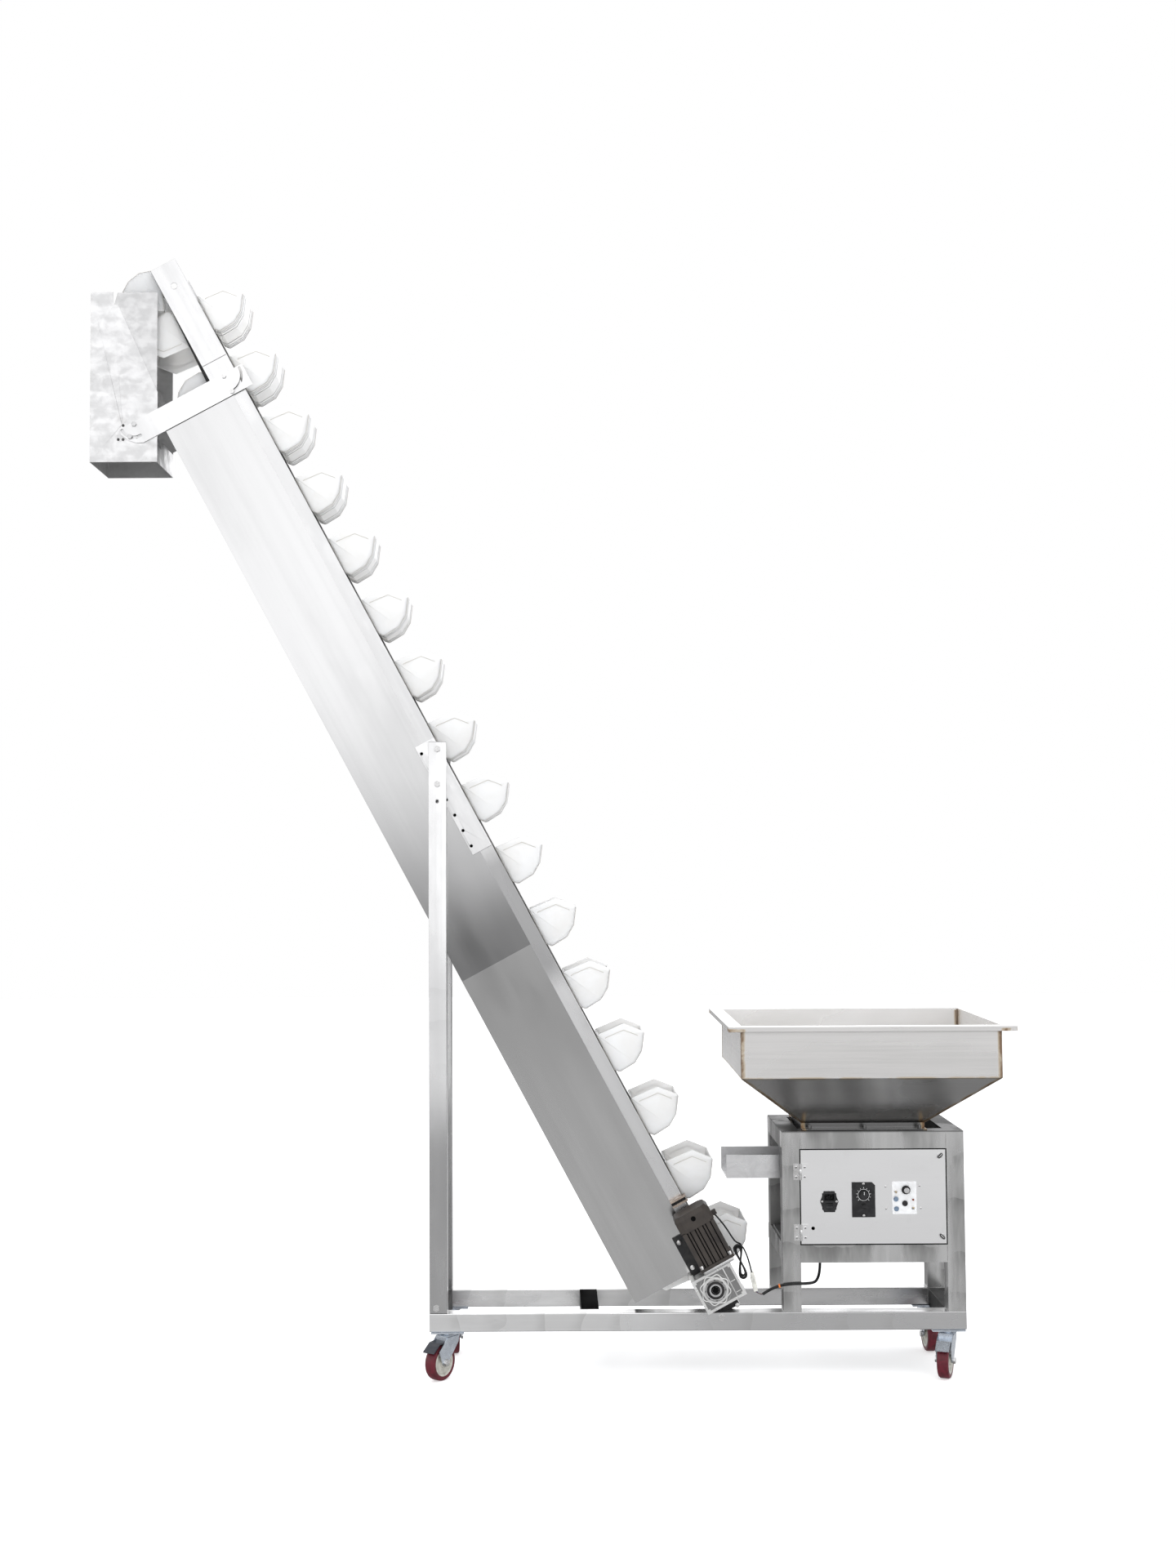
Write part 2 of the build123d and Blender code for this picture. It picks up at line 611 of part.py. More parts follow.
def turning_set(centre, first_pin, sleeve, bore):
    """Sprockets with the chain on them, and the sleeve or shaft between."""
    thickness = CHAIN_WIDTH - 4 * LINK_PLATE - 0.6
    near = -CHAIN_INNER - CHAIN_WIDTH / 2 - thickness / 2
    wheel = sprocket(near, thickness)
    turned = wheel + mirror(wheel, Plane.XY) + extrude(Circle(sleeve), -near, both=True)
    if bore:
        turned -= extrude(Circle(bore), RAIL_OUTER, both=True)
    chain = wrapped_chain(first_pin)
    chain += [mirror(link, Plane.XY) for link in chain]
    return [on_belt(Pos(centre, 0, 0) * piece) for piece in [turned] + chain]


# Prop legs and their brackets

def prop_legs():
    """Two tubes that hold up the belt, with the spare hole that sets its height."""
    leg = tube_z(LEG_X, -SIDE_Y, BASE_TOP, LEG_TOP)
    leg -= rod((LEG_X, -SIDE_Y, LEG_BOLT_Z - HOLE_PITCH), BOLT_HOLE_RADIUS, 2 * TUBE, (0, 1, 0))
    return both(leg)


def incline_brackets():
    """Plates with a row of holes that join the belt to the prop legs."""
    low = LEG_BOLT_S - 4.5 * HOLE_PITCH
    high = LEG_BOLT_S + 2.5 * HOLE_PITCH
    plate = block(low, high, BRACKET_LOW, BRACKET_HIGH, -INNER_Y, -CASING_OUTER)
    for k in range(BRACKET_HOLES):
        s = LEG_BOLT_S + (k - 4) * HOLE_PITCH
        plate -= rod((s, BRACKET_ROW, -INNER_Y), BOLT_HOLE_RADIUS, 30, (0, 0, 1))
    return mirrored_belt([plate])


def frame_fasteners():
    """Heads of the leg and base bolts, and the bolts on which the chute's arms turn."""
    front = (0, -1, 0)
    pieces = [hex_bolt((LEG_X, -OUTER_Y, z), front, 16, 8) for z in (LEG_BOLT_Z, LEG_BOLT_Z + 2 * HOLE_PITCH)]
    pieces.append(hex_bolt((LEG_X - 6, -OUTER_Y, BASE_TOP + 16), front, 16, 8))
    pieces.append(hex_bolt((TAIL_X + 20, -OUTER_Y, BASE_TOP - 14), front, 16, 8))
    for (s, n), inner in ((ARM_PIVOT, RAIL_OUTER), (ARM_CLAMP, CASING_OUTER)):
        pieces.append(on_belt(arm_bolt(s, n, inner)))
    return [side for piece in pieces for side in both(piece)]


def arm_bolt(s, n, inner):
    """Bolt through an arm, from an inner face to its head on the outside, in the belt frame."""
    head_face = ARM_FACE + ARM_PLATE + ARM_GAP
    shank = rod((s, n, -(head_face + inner) / 2), BOLT_RADIUS, head_face - inner, (0, 0, 1))
    return shank + hex_bolt((s, n, -head_face), (0, 0, -1), 13, 5)


# Discharge chute

def on_belt_point(s, n, y):
    """A point of the belt frame on the machine."""
    return Vector(TAIL_X, y, TAIL_Z) + UP_BELT * s + OUT_BELT * n


def side_sheet(points, y0, y1):
    """Sheet of a given outline in X and Z, between two places across the machine."""
    plane = Plane(origin=(0, max(y0, y1), 0), x_dir=(1, 0, 0), z_dir=(0, -1, 0))
    return extrude(plane * make_face(Polyline(*points, close=True)), abs(y1 - y0))


def chute_shell():
    """Folded chute, open at its top and bottom and towards the buckets, with a low wall at the outlet."""
    cheek = side_sheet([(CHUTE_LEFT, CHUTE_BOTTOM), (CHUTE_RIGHT, CHUTE_BOTTOM), *CHUTE_CUT,
                        (CHUTE_LEFT + 66, CHUTE_TOP - 38), (CHUTE_LEFT + 66, CHUTE_TOP),
                        (CHUTE_LEFT, CHUTE_TOP)], -CHUTE_OUTER_Y, -CHUTE_INNER_Y)
    for s, n in (CHUTE_PIVOT, CHUTE_CLAMP):
        spot = on_belt_point(s, n, -CHUTE_OUTER_Y)
        cheek -= rod(spot, BOLT_RADIUS, 20, (0, 1, 0))
    wall = block(CHUTE_LEFT, CHUTE_LEFT + CHUTE_SHEET, -CHUTE_INNER_Y, CHUTE_INNER_Y, CHUTE_BOTTOM, CHUTE_TOP)
    lip = block(CHUTE_RIGHT - CHUTE_SHEET, CHUTE_RIGHT, -CHUTE_INNER_Y, CHUTE_INNER_Y, CHUTE_BOTTOM,
                CHUTE_BOTTOM + OUTLET_LIP)
    lip -= block(CHUTE_RIGHT - 5, CHUTE_RIGHT + 5, -CHUTE_INNER_Y + 14, -CHUTE_INNER_Y + 60,
                 CHUTE_BOTTOM + 48, CHUTE_BOTTOM + 80)
    far = mirror(cheek, Plane.XZ)
    for x, z in CHUTE_HOLES:
        cheek -= rod((CHUTE_LEFT + x, -CHUTE_OUTER_Y, CHUTE_BOTTOM + z), BOLT_RADIUS, 20, (0, 1, 0))
    return cheek + far + wall + lip


def chute_hardware():
    """Closing plates on the belt side of the cheeks, and the bolts of the arms."""
    plate = side_sheet([(CHUTE_RIGHT - 2, CHUTE_BOTTOM + 180), (CHUTE_RIGHT - 2, CHUTE_TOP - 2),
                        (CHUTE_LEFT + 78, CHUTE_TOP - 2), (CHUTE_LEFT + 66, CHUTE_TOP - 45)],
                       -CHUTE_INNER_Y, -CHUTE_INNER_Y + CHUTE_SIDE_GAP - 0.3)
    pieces = [plate, *[on_belt(arm_bolt(s, n, CHUTE_INNER_Y)) for s, n in (CHUTE_PIVOT, CHUTE_CLAMP)]]
    return [side for piece in pieces for side in both(piece)]


def arc_slot(centre, radius, start, sweep):
    """Slot along an arc, wide enough for its bolt."""
    line = CenterArc(centre, radius, start, sweep)
    return SlotArc(line, 2 * (BOLT_RADIUS + SLOT_GAP))


def chute_arms():
    """Two arms with arc slots that set the place and the tilt of the chute."""
    far, near = ARM_FAR, ARM_NEAR
    half = ARM_WIDTH / 2
    outline = make_face(Polyline((ARM_S + half, near), (ARM_S - half, near), (ARM_S - half, far + 48),
                                 (ARM_S - 26, far + 30), (ARM_S - 8, far + 12), (ARM_S + 18, far),
                                 (ARM_S + half, far + 8), close=True))
    for pivot in (ARM_PIVOT, CHUTE_PIVOT):
        outline -= Pos(*pivot) * Circle(BOLT_RADIUS + BOLT_GAP)
    clamp = Vector(*CHUTE_CLAMP) - Vector(*CHUTE_PIVOT)
    angle = degrees(atan2(clamp.Y, clamp.X))
    outline -= arc_slot(ARM_PIVOT, ARM_PIVOT[0] - ARM_CLAMP[0], 90, SLOT_SWEEP)
    outline -= arc_slot(CHUTE_PIVOT, clamp.length, angle - 48, SLOT_SWEEP)
    arm = extrude(Plane.XY.offset(-ARM_FACE - ARM_PLATE) * outline, ARM_PLATE)
    return mirrored_belt([arm])


# Feed stand

def stand_legs():
    """Four legs of the feed stand on the base."""
    places = (STAND_LEFT + TUBE / 2, BASE_LENGTH - TUBE / 2)
    return [leg for x in places for leg in both(tube_z(x, -SIDE_Y, BASE_TOP, STAND_HEIGHT - TUBE))]


def stand_rails():
    """Top frame and lower rails of the feed stand."""
    top = STAND_HEIGHT - TUBE / 2
    left, right = STAND_LEFT + TUBE / 2, BASE_LENGTH - TUBE / 2
    pieces = both(tube_x(STAND_LEFT, BASE_LENGTH, -SIDE_Y, top))
    pieces += both(tube_x(STAND_LEFT + TUBE, BASE_LENGTH - TUBE, -SIDE_Y, STAND_RAIL_Z))
    pieces += [tube_y(x, -INNER_Y, INNER_Y, z) for x in (left, right) for z in (top, STAND_RAIL_Z)]
    return pieces


def frustum(length0, width0, z0, length1, width1, z1):
    """Solid with flat sides between two rectangles at two heights, about the hopper's middle."""
    rings = []
    for length, width, z in ((length0, width0, z0), (length1, width1, z1)):
        x, y = length / 2, width / 2
        rings.append([(HOPPER_X + a * x, b * y, z) for a, b in ((-1, -1), (1, -1), (1, 1), (-1, 1))])
    low, high = rings
    faces = [make_face(Polyline(*ring, close=True)) for ring in rings]
    for k in range(4):
        m = (k + 1) % 4
        faces.append(make_face(Polyline(low[k], low[m], high[m], high[k], close=True)))
    return Solid(Shell([side.faces()[0] for side in faces]))


def hopper():
    """Welded hopper: turned-down rim, straight box, taper, neck with its flange, and spout."""
    t = 2 * HOPPER_SHEET
    rim_low = HOPPER_RIM_TOP - HOPPER_RIM_HEIGHT
    box = (HOPPER_BOX_LENGTH, HOPPER_BOX_WIDTH)
    neck = (NECK_LENGTH, NECK_WIDTH)
    spout = (SPOUT_LENGTH, SPOUT_WIDTH)
    x0, x1 = HOPPER_X - RIM_LENGTH / 2, HOPPER_X + RIM_LENGTH / 2
    y = RIM_WIDTH / 2
    rim = block(x0, x1, -y, y, rim_low, HOPPER_RIM_TOP)
    rim -= block(x0 + t / 2, x1 - t / 2, -y + t / 2, y - t / 2, rim_low - 1, HOPPER_RIM_TOP - HOPPER_SHEET)
    flange = block(HOPPER_X - NECK_LENGTH / 2, HOPPER_X + NECK_LENGTH / 2, -SIDE_Y - 8, SIDE_Y + 8,
                   STAND_HEIGHT, STAND_HEIGHT + HOPPER_FLANGE)
    stages = [(box, HOPPER_BOX_BOTTOM, box, HOPPER_RIM_TOP), (neck, NECK_TOP, box, HOPPER_BOX_BOTTOM),
              (neck, STAND_HEIGHT, neck, NECK_TOP), (spout, SPOUT_BOTTOM, neck, STAND_HEIGHT)]
    outer = rim + flange
    for low, z0, high, z1 in stages:
        outer += frustum(*low, z0, *high, z1)
    for low, z0, high, z1 in stages:
        outer -= frustum(low[0] - t, low[1] - t, z0 - 0.001, high[0] - t, high[1] - t, z1 + 0.001)
    return outer


def hopper_screws():
    """Screws of the hopper flange, on the front and rear rails of the stand."""
    places = (HOPPER_X - 155, HOPPER_X, HOPPER_X + 155)
    heads = [hex_bolt((x, -SIDE_Y + 2, STAND_HEIGHT + HOPPER_FLANGE), (0, 0, 1), 10, 10) for x in places]
    return [side for head in heads for side in both(head)]


def feeder_tray():
    """Vibrating pan, open at its top and at the belt end, with the armature bracket under it."""
    left, right = STAND_LEFT - TRAY_OVERHANG, STAND_LEFT + TRAY_REACH
    half = TRAY_WIDTH / 2
    pan = block(left, right, -half, half, TRAY_FLOOR, TRAY_FLOOR + TRAY_HEIGHT)
    pan -= block(left - 1, right - TRAY_SHEET, -half + TRAY_SHEET, half - TRAY_SHEET,
                 TRAY_FLOOR + TRAY_SHEET, TRAY_FLOOR + TRAY_HEIGHT + 1)
    spine = block(STAND_LEFT + 70, right - 10, -30, 30, TRAY_FLOOR - TRAY_SPINE, TRAY_FLOOR)
    return pan + spine


def feeder_drive():
    """Base plate, electromagnet and leaf springs under the tray."""
    base = block(STAND_LEFT + 4, BASE_LENGTH - 4, -90, 90, STAND_RAIL_Z + TUBE / 2, FEEDER_BASE_TOP)
    top = TRAY_FLOOR - TRAY_SPINE - TRAY_SHAKE_GAP
    magnet = block(STAND_X - 60, STAND_X + 40, -40, 40, FEEDER_BASE_TOP, top - 12)
    pole = block(STAND_X - 35, STAND_X + 15, -22, 22, top - 12, top)
    springs = []
    foot_top = FEEDER_BASE_TOP + SPRING_FOOT
    for x in (STAND_LEFT + place for place in SPRING_PLACES):
        foot = block(x - 14, x + 14, -36, 36, FEEDER_BASE_TOP, foot_top)
        leaf = side_sheet([(x - 3, foot_top), (x + 3, foot_top), (x + SPRING_LEAN + 3, top),
                           (x + SPRING_LEAN - 3, top)], -32, 32)
        springs.append(foot + leaf)
    return [base, magnet + pole, *springs]


# Control box and door

def door_point(across, up, y=0.0):
    """A point on the door's face from its lower left corner."""
    return (DOOR_X0 + across, DOOR_Y - y, DOOR_Z0 + up)


def control_box():
    """Sheet box behind the door, and the gland of the control lead in its floor."""
    t = BOX_SHEET
    x0, x1 = STAND_LEFT + TUBE + BOX_GAP, BASE_LENGTH - TUBE - BOX_GAP
    z0, z1 = STAND_RAIL_Z + TUBE / 2, STAND_HEIGHT - TUBE - BOX_GAP
    front = DOOR_Y + DOOR_SHEET + 0.6
    box = block(x0, x1, front, BOX_BACK, z0, z1)
    box -= block(x0 + t, x1 - t, front - 1, BOX_BACK - t, z0 + t, z1 - t)
    return [box, hex_bolt((GLAND_X, GLAND_Y, z0), (0, 0, -1), 18, GLAND_HEIGHT)]


def hinge_leaf(side, up, low, high):
    """One leaf of a butt hinge with its web to the pin: -1 on the stand, +1 on the door."""
    z0 = door_point(0, up)[2] - HINGE_HEIGHT / 2
    leaf = block(HINGE_X + side * 4, HINGE_X + side * 20, DOOR_Y - 2, DOOR_Y, z0, z0 + HINGE_HEIGHT)
    for a, b in zip(low, high):
        z2, z3 = z0 + a * HINGE_HEIGHT, z0 + b * HINGE_HEIGHT
        leaf += block(HINGE_X, HINGE_X + side * 5, HINGE_Y, DOOR_Y - 0.01, z2, z3)
        leaf += Pos(HINGE_X, HINGE_Y, z2) * extrude(Circle(HINGE_KNUCKLE), z3 - z2)
    return leaf


def door_hinges():
    """Fixed leaves on the stand, with the end knuckles and the pins."""
    pieces = []
    for up in HINGE_PLACES:
        leaf = hinge_leaf(-1, up, (0, 0.67), (0.33, 1))
        pin = rod((HINGE_X, HINGE_Y, door_point(0, up)[2]), PIN_RADIUS, HINGE_HEIGHT, (0, 0, 1))
        pieces.append(leaf + pin)
    return pieces


def door_panel():
    """Door sheet with its cut-outs, and the moving leaves."""
    door = block(DOOR_X0, DOOR_X1, DOOR_Y, DOOR_Y + DOOR_SHEET, DOOR_Z0, DOOR_Z1)
    for place, length, height in ((INLET, 40, 46), (SPEED, 56, 84), (FEEDER, 58, 78)):
        x, y, z = door_point(*place)
        door -= block(x - length / 2, x + length / 2, y - 5, y + 5, z - height / 2, z + height / 2)
    door -= rod(door_point(*CABLE_HOLE), CABLE_HOLE_RADIUS, 20, (0, 1, 0))
    for latch in LATCHES:
        door -= rod(door_point(*latch), LATCH_RADIUS + BORE_GAP, 20, (0, 1, 0))
    pieces = [door]
    for up in HINGE_PLACES:
        bore = rod((HINGE_X, HINGE_Y, door_point(0, up)[2]), PIN_RADIUS + BORE_GAP, HINGE_HEIGHT, (0, 0, 1))
        pieces.append(hinge_leaf(1, up, (0.34,), (0.66,)) - bore)
    return pieces


def door_latch(place, turn):
    """Quarter-turn screw with its cam behind the door."""
    x, y, z = door_point(*place)
    head = rod((x, y - 1.55, z), 7, 3, (0, 1, 0)) - Pos(x, y - 3, z) * Rot(0, turn, 0) * Box(16, 2.2, 2)
    stem = rod((x, y + 2, z), LATCH_RADIUS, 8, (0, 1, 0))
    cam = Pos(x, y + 3.1, z) * Rot(0, turn, 0) * Pos(-2, 0, 0) * Box(14, 2, 7)
    return head + stem + cam


def rocker_seat(place, width, height):
    """Cut that a rocker sits in."""
    x, y, z = door_point(*place)
    return block(x - width / 2, x + width / 2, y - 5, y + 8, z - height / 2, z + height / 2)


def power_inlet():
    """Six-sided inlet with its socket, the well of the switch and the body behind the door."""
    x, y, z = door_point(*INLET)
    plane = Plane(origin=(x, y, z), x_dir=(1, 0, 0), z_dir=(0, -1, 0))
    points = [(-25.5, 0), (-15, 29), (15, 29), (25.5, 0), (15, -29), (-15, -29)]
    plate = extrude(plane * make_face(Polyline(*points, close=True)), PANEL_PLATE)
    body = block(x - 19, x + 19, y, y + 42, z - 22, z + 22)
    well = block(x - 14, x + 14, y - 5, y + 16, z + 3, z + 21)
    pins = [block(x + dx - 1, x + dx + 1, y + 1, y + 17, z + dz, z + dz + 4)
            for dx, dz in ((-7, 8), (0, 12), (7, 8))]
    return plate + body - well - rocker_seat(ROCKER, ROCKER_WIDTH, ROCKER_HEIGHT) + pins


def rocker(place, width, height):
    """Rocker of a switch, tipped in its seat."""
    x, y, z = door_point(*place)
    half, edge = width / 2 - BORE_GAP, height / 2 - 1
    plane = Plane(origin=(x - half, 0, 0), x_dir=(0, 1, 0), z_dir=(1, 0, 0))
    profile = [(y - 5.5, z - edge), (y - 3, z - edge / 6), (y - 4.2, z + edge), (y + 2, z + edge - 1),
               (y + 2, z - edge + 1)]
    return extrude(plane * make_face(Polyline(*profile, close=True)), 2 * half)


def speed_controller():
    """Black plate of the belt's speed controller, with a cut corner, and its body."""
    x, y, z = door_point(*SPEED)
    plane = Plane(origin=(x, y, z), x_dir=(1, 0, 0), z_dir=(0, -1, 0))
    points = [(-32.5, -48.5), (32.5, -48.5), (32.5, 40), (24, 48.5), (-32.5, 48.5)]
    plate = extrude(plane * make_face(Polyline(*points, close=True)), PANEL_PLATE)
    body = block(x - 27, x + 27, y, y + 50, z - 41, z + 41)
    return plate + body - rocker_seat(RUN_SWITCH, RUN_WIDTH, RUN_HEIGHT)


def speed_knob():
    """Fluted knob of the speed controller."""
    x, y, z = door_point(*SPEED)
    place = (x, y - PANEL_PLATE - BORE_GAP, z + SPEED_KNOB_RISE)
    plane = Plane(origin=place, x_dir=(1, 0, 0), z_dir=(0, -1, 0))
    knob = extrude(plane * RegularPolygon(11, 18), 12) + extrude(plane * Circle(13), 2)
    return knob - Pos(x, y - PANEL_PLATE - 12.3, z + SPEED_KNOB_RISE + 6.5) * Box(1.6, 1.2, 9)


def toggle(place, tip):
    """Bat of a small toggle switch on the feeder panel, tipped up or down."""
    tilt = radians(tip)
    start = door_point(*place, PANEL_PLATE + 0.35)
    plane = Plane(origin=start, x_dir=(1, 0, 0), z_dir=(0, -cos(tilt), sin(tilt)))
    return extrude(plane * Circle(1.6), 11)


def feeder_panel():
    """White panel of the feeder's controller with its bezel parts and body."""
    x, y, z = door_point(*FEEDER)
    plate = block(x - 34, x + 34, y - PANEL_PLATE, y, z - 45, z + 45)
    body = block(x - 28, x + 28, y, y + 45, z - 38, z + 38)
    rise = PANEL_PLATE + 1.5
    sockets = [rod(door_point(*place, rise), radius, 3, (0, 1, 0)) for place, radius in ROUND_INSERTS]
    return [plate + body, *sockets]


def output_knob():
    """Knob that sets the feeder's output."""
    plane = Plane(origin=door_point(*OUTPUT_KNOB, PANEL_PLATE + BORE_GAP), x_dir=(1, 0, 0), z_dir=(0, -1, 0))
    knob = extrude(plane * Circle(12), 3) + extrude(plane * RegularPolygon(9, 16), 14)
    return knob


# Drive

def gearbox_housing():
    """Cast worm gearbox with its spacers, worm caps and face lugs, drawn in the belt frame."""
    body = block(-46, 46, -46, 68, -GEARBOX_FAR + 3, -GEARBOX_NEAR)
    caps = rod((-1, WORM_OFFSET, -MOTOR_Y), 24, 102, (1, 0, 0))
    lugs_at = [(s, n) for s in (-44, 44) for n in (-44, 66)]
    corners = [block(s - 6, s + 6, n - 6, n + 6, -GEARBOX_FAR, -GEARBOX_NEAR) for s, n in lugs_at]
    face = block(-50, 50, -50, 72, -GEARBOX_FAR, -GEARBOX_FAR + 8) - block(-43, 43, -43, 65, -GEARBOX_FAR - 1,
                                                                          -GEARBOX_FAR + 4)
    boss = rod((0, 0, -GEARBOX_FAR + 4), 36, 8, (0, 0, 1))
    spacers = [hex_bolt((s, n, -GEARBOX_NEAR), (0, 0, 1), 14, GEARBOX_OFFSET)
               for s in (-30, 30) for n in (-28, 28)]
    ring = rod((0, 0, -GEARBOX_FAR - 1), 32, 4, (0, 0, 1))
    housing = body + caps + corners + face + boss + spacers + ring
    return on_belt(housing - rod((0, 0, -MOTOR_Y), SLEEVE_RADIUS + 0.2, 300, (0, 0, 1)))


def finned_section():
    """Square motor section with straight fins on all four sides."""
    half = MOTOR_SQUARE / 2
    face = Rectangle(MOTOR_SQUARE - 6, MOTOR_SQUARE - 6)
    grooves = []
    for side in range(4):
        for k in range(-3, 4):
            groove = Pos(half - 3 - 2.5, k * 12.0 + (1.5 if k % 2 else -1.5)) * Rectangle(5.1, 3.2)
            grooves.append(Rot(0, 0, 90 * side) * groove)
    return face - grooves


def drive_motor():
    """Adapter flange, finned body and chamfered end cap of the motor, in line with the worm."""
    base = Plane(origin=(WORM_HALF, WORM_OFFSET, -MOTOR_Y), x_dir=(0, 1, 0), z_dir=(1, 0, 0))
    start = MOTOR_ADAPTER + MOTOR_FLANGE
    cap_start = MOTOR_LENGTH - MOTOR_CAP
    square = Rectangle(MOTOR_SQUARE, MOTOR_SQUARE)
    adapter = extrude(base * Rectangle(92, 92), MOTOR_ADAPTER)
    flange = extrude(base.offset(MOTOR_ADAPTER) * square, MOTOR_FLANGE)
    body = extrude(base.offset(start) * finned_section(), cap_start - start)
    cap_face = base.offset(cap_start) * chamfer(square.vertices(), 16)
    slope = 12
    cap = extrude(cap_face, MOTOR_CAP - slope)
    cap += extrude(Pos(*(base.z_dir * (MOTOR_CAP - slope))) * cap_face, slope, taper=30)
    elbow = block(LEAD_EXIT, LEAD_EXIT + 14, WORM_OFFSET + 50, WORM_OFFSET + 65, -MOTOR_Y - 7, -MOTOR_Y + 7)
    return [on_belt(piece) for piece in (adapter, flange, body, cap + elbow)]


def output_sleeve():
    """Hollow output shaft of the gearbox round the drive shaft's end."""
    sleeve = rod((0, 0, -MOTOR_Y), SLEEVE_RADIUS, GEARBOX_THICKNESS + 2, (0, 0, 1))
    return on_belt(sleeve - rod((0, 0, -MOTOR_Y), SHAFT_RADIUS, 2 * GEARBOX_THICKNESS, (0, 0, 1)))


def drive_bar():
    """Drive shaft from the gearbox to the far bearing."""
    near, far = -GEARBOX_FAR + 25, INNER_Y + BEARING_THICKNESS
    return on_belt(rod((0, 0, (near + far) / 2), SHAFT_RADIUS, far - near, (0, 0, 1)))


# Cords

def cord_tube(points, diameter):
    """Cord as straight runs joined by arcs as large as the two runs allow."""
    spots = [Vector(*point) for point in points]
    radii = []
    for a, b, c in zip(spots, spots[1:], spots[2:]):
        turn = radians((b - a).get_angle(c - b))
        radii.append(0.45 * min((b - a).length, (c - b).length) / tan(turn / 2))
    line = FilletPolyline(*spots, radius=radii)
    start = Plane(origin=line @ 0, z_dir=line % 0)
    tube = sweep(start * Circle(diameter / 2), path=line)
    section = pi * diameter ** 2 / 4
    print(f"cord length {line.length:.0f}, radii {[round(radius) for radius in radii]}, "
          f"volume ratio {tube.volume / section / line.length:.3f}")
    return tube


def motor_lead():
    """Thin lead from the motor down to its hank."""
    exit_point = on_belt_point(LEAD_EXIT - 0.4, WORM_OFFSET + 58, -MOTOR_Y)
    return cord_tube([exit_point, (824, -MOTOR_Y, 426), (853.2, -MOTOR_Y, 376)], CORD_MOTOR)


def lying_between(a, b):
    """Plane facing the front, halfway between two places in X and Z, with its x direction along them."""
    middle = ((a[0] + b[0]) / 2, CORD_Y, (a[1] + b[1]) / 2)
    return Plane(origin=middle, x_dir=(b[0] - a[0], 0, b[1] - a[1]), z_dir=(0, -1, 0))


def span(a, b):
    """Distance between two places in X and Z."""
    return ((a[0] - b[0]) ** 2 + (a[1] - b[1]) ** 2) ** 0.5


def motor_lead_hank():
    """Outer shape of the folded part of the motor's lead."""
    outline = SlotOverall(span(HANK_TOP, HANK_BOTTOM), HANK_WIDTH)
    return extrude(lying_between(HANK_TOP, HANK_BOTTOM) * outline, HANK_DEPTH / 2, both=True)


def lead_connector():
    """Plug and socket between the leads, with the short wires to the control lead."""
    plane = lying_between(CONNECTOR_TOP, CONNECTOR_BOTTOM)
    length = span(CONNECTOR_TOP, CONNECTOR_BOTTOM)
    body = extrude(plane * Rectangle(length, CONNECTOR_WIDTH), CONNECTOR_WIDTH / 2, both=True)
    x0, z0 = CONNECTOR_BOTTOM
    x1, z1 = CONTROL_ROUTE[-1][0], CONTROL_ROUTE[-1][2]
    wires = side_sheet([(x0 - 3, z0 + 1), (x0 + 3, z0 - 12), (x0 + 10, z0 - 15), (x1 + 0.9, z1 - 1.9),
                        (x1 - 1.5, z1 + 1.7), (x0 + 10, z0 - 11), (x0 + 5, z0 + 1)], CORD_Y - 2, CORD_Y + 2)
    return body + wires


def cable_tie():
    """Tie round the control lead."""
    a, b = (Vector(*point) for point in CONTROL_ROUTE[-1 - TIE_AT:][:2])
    plane = Plane(origin=(a + b) / 2, z_dir=b - a)
    radius = CORD_CONTROL / 2
    return extrude(plane * (Circle(radius + 1.6) - Circle(radius + 0.02)), 2.5, both=True)


save("base_side_rails", *base_side_rails())
save("base_cross_rails", *base_cross_rails())
save("caster_plates", *caster_plates())
for caster, (cx, cy, trail) in caster_places().items():
    frame = caster_frame(cx, cy, trail)
    save(f"caster_fork_{caster}", caster_fork(frame))
    save(f"caster_wheel_{caster}", caster_wheel(frame))
    if caster.startswith("front"):
        save(f"brake_pedal_{caster}", brake_pedal(frame))
save("prop_legs", *prop_legs())
save("incline_brackets", *incline_brackets())
save("frame_fasteners", *frame_fasteners())
save("side_rails", *side_rails())
save("tail_rails", *tail_rails())
save("rail_flanges", *rail_flanges())
save("flange_pads", *flange_pads())
save("chain_guides", *chain_guides())
save("casing_lower", casing(CASING_BOTTOM, CASING_SPLIT))
save("casing_upper", casing(CASING_SPLIT, CASING_TOP))
save("tail_side_plates", *tail_side_plates())
save("shaft_supports", *shaft_supports())
carry, carry_lugs = bucket_run(1, CARRY_PLACES)
back, back_lugs = bucket_run(-1, RETURN_PLACES)
save("carry_buckets", *carry)
strand_ends = (END_GAP + TRAVEL_DOWN, SHAFT_CENTRES - END_GAP - TRAVEL_UP)
save("carry_chains", *carry_lugs, *chain_strands(1, *strand_ends))
save("return_buckets", *back)
strand_ends = (END_GAP + TRAVEL_UP, SHAFT_CENTRES - END_GAP - TRAVEL_DOWN)
save("return_chains", *back_lugs, *chain_strands(-1, *strand_ends))
save("head_bucket", on_belt(head_bucket_spot() * bucket()))
save("head_sprockets", *turning_set(SHAFT_CENTRES, PIN_ANGLE - 180, HUB_RADIUS, SHAFT_RADIUS + BORE_GAP),
     *[on_belt(head_bucket_spot() * lug) for lug in lugs()])
save("drive_shaft", *turning_set(0, PIN_ANGLE, HUB_RADIUS, SHAFT_RADIUS), drive_bar(), output_sleeve())
save("gearbox_housing", gearbox_housing())
save("drive_motor", *drive_motor())
save("chute_shell", chute_shell())
save("chute_hardware", *chute_hardware())
save("chute_arms", *chute_arms())
save("stand_frame", *stand_legs(), *stand_rails())
save("hopper", hopper(), *hopper_screws())
save("feeder_tray", feeder_tray())
save("feeder_drive", *feeder_drive())
save("control_box", *control_box())
